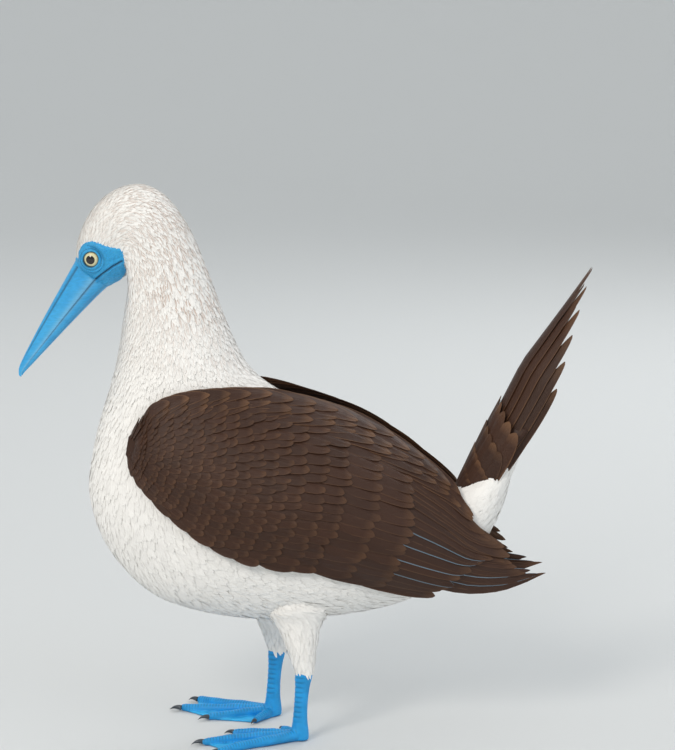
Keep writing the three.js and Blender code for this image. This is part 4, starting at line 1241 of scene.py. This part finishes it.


# Bill horn, layered keratin over bone: satin, with fine lengthwise growth lines that stretch its highlight,
# painted shade in the side groove and along the lower half's edge under the upper half, and paler at the worn
# cutting edges.
def billHorn():
    material, tree, surface = newMaterial("bill_horn_blue", Roughness=0.36, IOR=1.55, Coat_Weight=0.15,
                                          Coat_Roughness=0.25)
    marks = {mark: add(tree, "Attribute", attribute_name=mark).outputs["Fac"] for mark in ("edge", "groove")}
    place = add(tree, "TexCoord").outputs["Object"]
    turned = add(tree, "Mapping", {"Vector": place, "Rotation": (0, -pitch, 0), "Scale": (60, 700, 700)})
    growth = add(tree, "TexNoise", {"Vector": turned, "Scale": 1.0, "Detail": 4.0})
    cloud = add(tree, "TexNoise", {"Vector": place, "Scale": 70.0, "Detail": 4.0})
    tone = add(tree, "Mix", {0: cloud, 6: colour("#1e94d6"), 7: colour("#43b4ea")}, data_type="RGBA")
    worn = add(tree, "Mix", {0: marks["edge"], 6: tone, 7: colour("#9ccbdc")}, data_type="RGBA")
    # painted shade: darker in the side groove, and along the lower half's edge where the upper half overhangs
    # it
    dark = add(tree, "Mix", {0: marks["groove"], 6: worn, 7: colour("#1d4f70")}, data_type="RGBA")
    lines = add(tree, "MapRange", {0: growth, 1: 0.3, 2: 0.7, 3: 0.86, 4: 1.08})
    final = add(tree, "VectorMath", {0: dark, "Scale": lines}, operation="SCALE")
    tree.links.new(final.outputs[0], surface.inputs["Base Color"])
    bump = add(tree, "Bump", {"Strength": 0.35, "Distance": 0.0002, "Height": growth})
    tree.links.new(bump.outputs[0], surface.inputs["Normal"])
    return material


def halfBill(half, horn):
    upper = half == "upper"
    rows, columns = billSet["grid"]
    last = len(billSet["stations"]) - 1
    at = through(billSet["stations"], np.linspace(0, last if upper else last - 0.35, rows))
    share, culmen, mouth, keel, wide = at.T
    u = headSet["billBase"] + 0.3 + share * billSet["length"]
    angle = np.linspace(0, math.pi, columns)[None, :]
    fromEdge = np.minimum(angle, math.pi - angle)
    tooth = billSet["tooth"] * np.abs((share * billSet["length"] / billSet["saw"]) % 1 - 0.5)
    edge = mouth + (billSet["gap"] - tooth * smoothStep(0.12, 0.3, share) if upper else billSet["lap"])
    height = (culmen if upper else keel) - edge
    wide = wide * (1 if upper else 0.93)
    cut = np.exp(-(((fromEdge - 0.3 * math.pi) / 0.1) ** 2)) * (1 - smoothStep(0.75, 0.92, share))[:, None]
    lip = np.exp(-((fromEdge / 0.16) ** 2))
    groove = 1 - (0.045 if upper else 0.02) * cut
    v = edge[:, None] + height[:, None] * np.sin(angle) ** 0.85 * groove
    y = wide[:, None] * np.cos(angle) * groove * (1 + 0.015 * lip)
    # painted shade, kept as the groove mark: the side groove, and the lower half's edge under the upper half
    dark = 0.75 * cut if upper else 0.3 * cut + 0.85 * np.exp(-((fromEdge / 0.09) ** 2))
    points, faces = cappedGrid(headPoint(u[:, None], v, y))
    marks = {"edge": np.broadcast_to(0.35 * lip, v.shape), "groove": dark}
    makePiece(f"{half}_bill", points, faces, horn, "bill", (f"bill_{half}",), None,
              {mark: np.append(value, [0, 0]) for mark, value in marks.items()})


horn = billHorn()
for half in ("upper", "lower"):
    halfBill(half, horn)
print("bill done")


# Bare facial skin, thin and soft, grown without feathers: nearly matt, with grains of 1 mm that catch the
# light, with a painted highlight on each grain and painted shade between them, and painted shade in the gape
# and under the lids.
def faceSkin():
    material, tree, surface = newMaterial("bare_facial_skin_blue", Roughness=0.5, IOR=1.42,
                                          Subsurface_Weight=0.1, Subsurface_Scale=0.003)
    place = add(tree, "TexCoord").outputs["Object"]
    pebbles = add(tree, "TexVoronoi", {"Vector": place, "Scale": 1000.0}, feature="SMOOTH_F1")
    cloud = add(tree, "TexNoise", {"Vector": place, "Scale": 120.0, "Detail": 4.0})
    foldShade = add(tree, "Attribute", attribute_name="foldShade").outputs["Fac"]
    tone = add(tree, "Mix", {0: cloud, 6: colour("#2293d0"), 7: colour("#44b4ea")}, data_type="RGBA")
    # painted shade in the gape fold, round the eyes, under the lids and in the ring's crease
    dark = add(tree, "Mix", {0: foldShade, 6: tone, 7: colour("#143d58")}, data_type="RGBA")
    # painted highlight in each grain's middle and painted shade at its edge, where the bumps rise and fall
    grainShading = add(tree, "MapRange", {0: pebbles, 1: 0.1, 2: 0.6, 3: 1.1, 4: 0.84})
    final = add(tree, "VectorMath", {0: dark, "Scale": grainShading}, operation="SCALE")
    tree.links.new(final.outputs[0], surface.inputs["Base Color"])
    bump = add(tree, "Bump", {"Strength": 0.6, "Distance": 0.0003, "Height": pebbles}, invert=True)
    tree.links.new(bump.outputs[0], surface.inputs["Normal"])
    return material


def eyeFrame(side):  # the eye's middle, and its directions outward, up and forward
    axis = unit(np.array([0, side, 0]) + 0.22 * headForward + 0.1 * headUp)
    up = unit(headUp - axis * (headUp @ axis))
    u, v, y = headSet["eye"]
    return headPoint(u, v, side * y), axis, up, np.cross(up, axis)


def buildFace(skin):  # the front of the head's loft, cut out round the mask and the eyes
    u, top, under, wide = through(fleshSet["head"], np.linspace(0, 4.4, 120)).T
    angles = fullTurn(280)[None, :]
    grid = ovalRing(headPoint(u, top), headPoint(u, under), wide, np.zeros((1, 1)), angles)
    base = grid[0].mean(0)
    lap = base + (grid[0] - base) * 0.97 + 1.8 * headForward
    grid = np.concatenate([lap[None], grid])  # it laps over the bill's base
    out = unit(np.cross(np.roll(grid, -1, 1) - np.roll(grid, 1, 1), np.gradient(grid, axis=0)))
    out = out * np.sign((out * (grid - grid.mean(1, keepdims=True))).sum(-1, keepdims=True))
    place = headCoordinates(grid)
    border = away(place, faceSet["outline"][1:-1])
    signed = np.where(inside(place, faceSet["outline"]), border, -border)
    rise = mix(-2.4, 0.15, smoothStep(-2.5, 2.2, signed))  # it sinks under the plumage at its border
    line = away(place, faceSet["mouth"])
    foldShade = np.exp(-((line / 0.75) ** 2))
    lips = 0.7 * np.exp(-(((line - 2) / 1.1) ** 2))
    eyes = []
    for side, _ in sides:
        middle, axis, _, _ = eyeFrame(side)
        eyes.append(np.linalg.norm(grid - middle - axis * 6, axis=-1))
    eyes = np.minimum(*eyes)
    swell = 1.2 * np.exp(-(((eyes - 13.5) / 3) ** 2)) - 3 * smoothStep(11.3, 8.6, eyes)
    folds = 0.25 * waves(grid, 7, 12) * smoothStep(0, 4, signed)
    grid = grid + out * (rise + lips + swell + folds - 0.9 * foldShade)[..., None]
    quads = quadsOfGrid(*grid.shape[:2], True)
    quads = quads[(signed.ravel()[quads] > -3.2).all(1) & (eyes.ravel()[quads] > 8.2).all(1)]
    used = np.unique(quads)
    quads = np.searchsorted(used, quads)
    if np.cross(grid[1, 0] - grid[0, 0], grid[0, 1] - grid[0, 0]) @ out[0, 0] > 0:
        quads = quads[:, ::-1]
    # painted shade in the gape fold and round the eyes
    shade = foldShade + 0.5 * np.exp(-(((eyes - 9) / 3) ** 2))
    makePiece("face_skin", grid.reshape(-1, 3)[used], quads, skin, "facial_skin", ("face",), None,
              {"foldShade": np.clip(shade, 0, 1).ravel()[used]})


ringSet = {
    "profile": [  # radius and height, from inside the lids over the ring to the cheek
        [6.3, 5.0], [6.15, 6.6], [6.5, 7.5], [7.2, 7.9], [8.0, 7.6], [8.8, 6.7], [9.5, 6.6],
        [10.4, 6.7], [11.3, 5.9], [12.4, 4.6], [13.6, 3], [14.8, 1],
    ],
    "grid": (72, 180),
}


def orbitalRing(side, name, skin):  # a fleshy rim round the eye, its inner edges the lids
    rows, columns = ringSet["grid"]
    profile = through(ringSet["profile"], np.linspace(0, len(ringSet["profile"]) - 1, rows))
    reach, height = profile[:, :1], profile[:, 1:]
    turn = fullTurn(columns)
    middle, axis, up, front = eyeFrame(side)
    radius = reach * (1 + 0.05 * np.exp(-((reach - 6.5) / 3) ** 2) * np.cos(2 * turn))
    crease = 0.14 * np.sin(38 * turn + 2 * np.sin(3 * turn)) * smoothStep(6.8, 9.6, reach)
    crease = crease + 0.2 * np.sin(reach * 4.2 + 0.5 * np.sin(2 * turn)) * smoothStep(9, 10.5, radius)
    brow = 0.9 * np.exp(-((radius - 8.4) / 2) ** 2) * np.maximum(np.sin(turn), 0) ** 2
    flat = middle + radius[..., None] * (np.cos(turn)[:, None] * front + np.sin(turn)[:, None] * up)
    cheek = np.zeros(rows * columns)
    for k, place in enumerate(flat.reshape(-1, 3)):  # the ring runs out on it
        hit = bareTree.ray_cast(Vector(place + 30 * axis), Vector(-axis))[0]
        cheek[k] = (hit - Vector(place)).dot(Vector(axis))
    cheek = cheek.reshape(rows, columns)
    height = mix(height, cheek + 0.9, smoothStep(9.5, 13.5, radius)) + crease + brow
    height = height - 3.6 * smoothStep(11.8, 13.4, radius)
    ring = flat + height[..., None] * axis
    faces = quadsOfGrid(rows, columns, True)
    if np.cross(ring[1, 0] - ring[0, 0], ring[0, 1] - ring[0, 0]) @ axis > 0:
        faces = faces[:, ::-1]
    # painted shade under the lids and in the ring's crease
    lidShade = 0.8 * (1 - smoothStep(6.3, 7.4, reach))
    shade = np.maximum(lidShade, 0.5 * np.exp(-((radius - 9.1) / 0.35) ** 2))
    makePiece(f"orbital_ring_{name}", ring, faces, skin, "facial_skin", (), None, {"foldShade": shade})


skin = faceSkin()
buildFace(skin)
for side, name in sides:
    orbitalRing(side, name, skin)
print("face done")


# Eyes: a pale yellow iris round a dark pupil. The radii run out from the eye's axis.
eyeSet = {"radius": 8.7, "pupil": 3.7, "iris": 6.1, "cornea": 7.3, "base": 6.4}


# Living eye, painted under its clear wet cornea: a sharp bright highlight, and fine fibres in the iris.
def wetEye():
    material, tree, surface = newMaterial("eye_wet_cornea", Roughness=0.08, IOR=1.38, Coat_Weight=1.0,
                                          Coat_Roughness=0.02)
    marks = {mark: add(tree, "Attribute", attribute_name=mark).outputs["Fac"] for mark in ("spoke", "off")}
    stretched = add(tree, "Math", {0: marks["off"], 1: 0.25}, operation="MULTIPLY")
    place = add(tree, "CombineXYZ", {0: marks["spoke"], 1: stretched})
    fibres = add(tree, "TexNoise", {"Vector": place, "Scale": 3.0, "Detail": 3.0})
    iris = add(tree, "Mix", {0: fibres, 6: colour("#cdbf6e"), 7: colour("#fbf6d8")}, data_type="RGBA")
    pupil, rim = eyeSet["pupil"], eyeSet["iris"]
    inner = add(tree, "MapRange", {0: marks["off"], 1: pupil - 0.12, 2: pupil + 0.12, 3: 1.0, 4: 0.0})
    outer = add(tree, "MapRange", {0: marks["off"], 1: rim - 0.5, 2: rim + 0.3, 3: 0.0, 4: 1.0})
    ringed = add(tree, "Mix", {0: outer, 6: iris, 7: colour("#3a2a1c")}, data_type="RGBA")
    final = add(tree, "Mix", {0: inner, 6: ringed, 7: colour("#0d0806")}, data_type="RGBA")
    tree.links.new(final.outputs[2], surface.inputs["Base Color"])
    return material


def eyeBall(side, name, material):
    ball, dome, base = eyeSet["radius"], eyeSet["cornea"], eyeSet["base"]
    down = np.linspace(0.01, math.pi - 0.01, 72)[:, None]
    turn = fullTurn(96)[None, :]
    off, height = ball * np.sin(down), ball * np.cos(down)
    lift = math.sqrt(ball**2 - base**2) - math.sqrt(dome**2 - base**2)  # the cornea is a smaller ball
    behind = down > math.pi / 2
    onDome = (off < base) & ~behind
    height = np.where(onDome, lift + np.sqrt(np.maximum(dome**2 - off**2, 0)), height)
    middle, axis, up, front = eyeFrame(side)
    grid = middle + height[..., None] * axis + off[..., None] * (
        np.cos(turn)[..., None] * front + np.sin(turn)[..., None] * up)
    off = np.where(behind, 9, off) + 0 * turn
    spoke = np.minimum(turn, 2 * math.pi - turn) * 6 + 0 * down
    makePiece(f"eyeball_{name}", *cappedGrid(grid), material, "eye", (f"eye_{name}",), None,
              {"off": np.append(off, [0, 9]), "spoke": np.append(spoke, [0, 0])})


wet = wetEye()
for side, name in sides:
    eyeBall(side, name, wet)
print("eyes done")


# A pale studio, with the camera level with the bird's side. Here lengths are in metres.
stageSet = {
    "target": (0.027, 0, 0.302), "distance": 2.4, "elevation": 9,
    "frame": 0.622, "sensor": 36,  # what the picture's height takes in, and the sensor in mm
    "lamps": [  # name, place, size, power, tint
        ("key", (-1.5, -2.5, 2.1), 1.2, 46, "#fff7ee"), ("fill", (2.4, -1.8, 1.2), 2.2, 12, "#eef4ff"),
        ("rim", (1.2, 2.2, 2.0), 1.4, 20, "#ffffff"),
    ],
    "paper": "#d4d7d8", "sky": "#eff0f0", "light": 0.95,
}


def facing(thing, target):
    thing.rotation_euler = (Vector(target) - thing.location).to_track_quat("-Z", "Y").to_euler()


def lamp(name, place, size, power, tint):
    data = bpy.data.lights.new(name, "AREA")
    data.shape, data.size, data.energy, data.color = "DISK", size, power, colour(tint)[:3]
    light = placed(name, data)
    light.location = place
    facing(light, (0, 0, 0.2))


def paperFloor():  # a sheet of matt paper, flat under the bird and curving up all round it
    bend = np.linspace(0.1, 1.5, 16)
    reach = np.concatenate([[0.3, 1, 2, 3, 4], 4 + 3 * np.sin(bend), [7.1]])
    rise = np.concatenate([[0, 0, 0, 0, 0], 3 - 3 * np.cos(bend), [4.5]])
    turn = fullTurn(96)
    rings = [reach[:, None] * np.cos(turn), reach[:, None] * np.sin(turn), rise[:, None] + 0 * turn]
    points = np.vstack([np.stack(rings, -1).reshape(-1, 3), [[0, 0, 0]]])
    faces = quadsOfGrid(len(reach), len(turn), True).tolist()
    faces += [[len(points) - 1, j, (j + 1) % len(turn)] for j in range(len(turn))]
    sheet = bpy.data.meshes.new("floor")
    sheet.from_pydata(points.tolist(), [], faces)
    sheet.shade_smooth()
    sheet.materials.append(
        newMaterial("matt_paper_backdrop", Base_Color=colour(stageSet["paper"]), Roughness=0.95)[0])
    placed("floor", sheet)


def buildStage():
    camera = placed("camera", bpy.data.cameras.new("camera"))
    rise = math.radians(stageSet["elevation"])
    target = Vector(stageSet["target"])
    camera.location = target + Vector((0, -math.cos(rise), math.sin(rise))) * stageSet["distance"]
    facing(camera, target)
    camera.data.sensor_width = stageSet["sensor"]
    camera.data.lens = stageSet["sensor"] * stageSet["distance"] / stageSet["frame"]
    camera.data.clip_end = 50
    scene = bpy.context.scene
    scene.camera = camera
    paperFloor()
    for row in stageSet["lamps"]:
        lamp(*row)
    scene.world = bpy.data.worlds.new("studio")
    scene.world.use_nodes = True
    sky = scene.world.node_tree.nodes["Background"]
    sky.inputs[0].default_value = colour(stageSet["sky"])
    sky.inputs[1].default_value = stageSet["light"]
    scene.view_settings.view_transform = "Standard"


buildStage()
print("stage done")
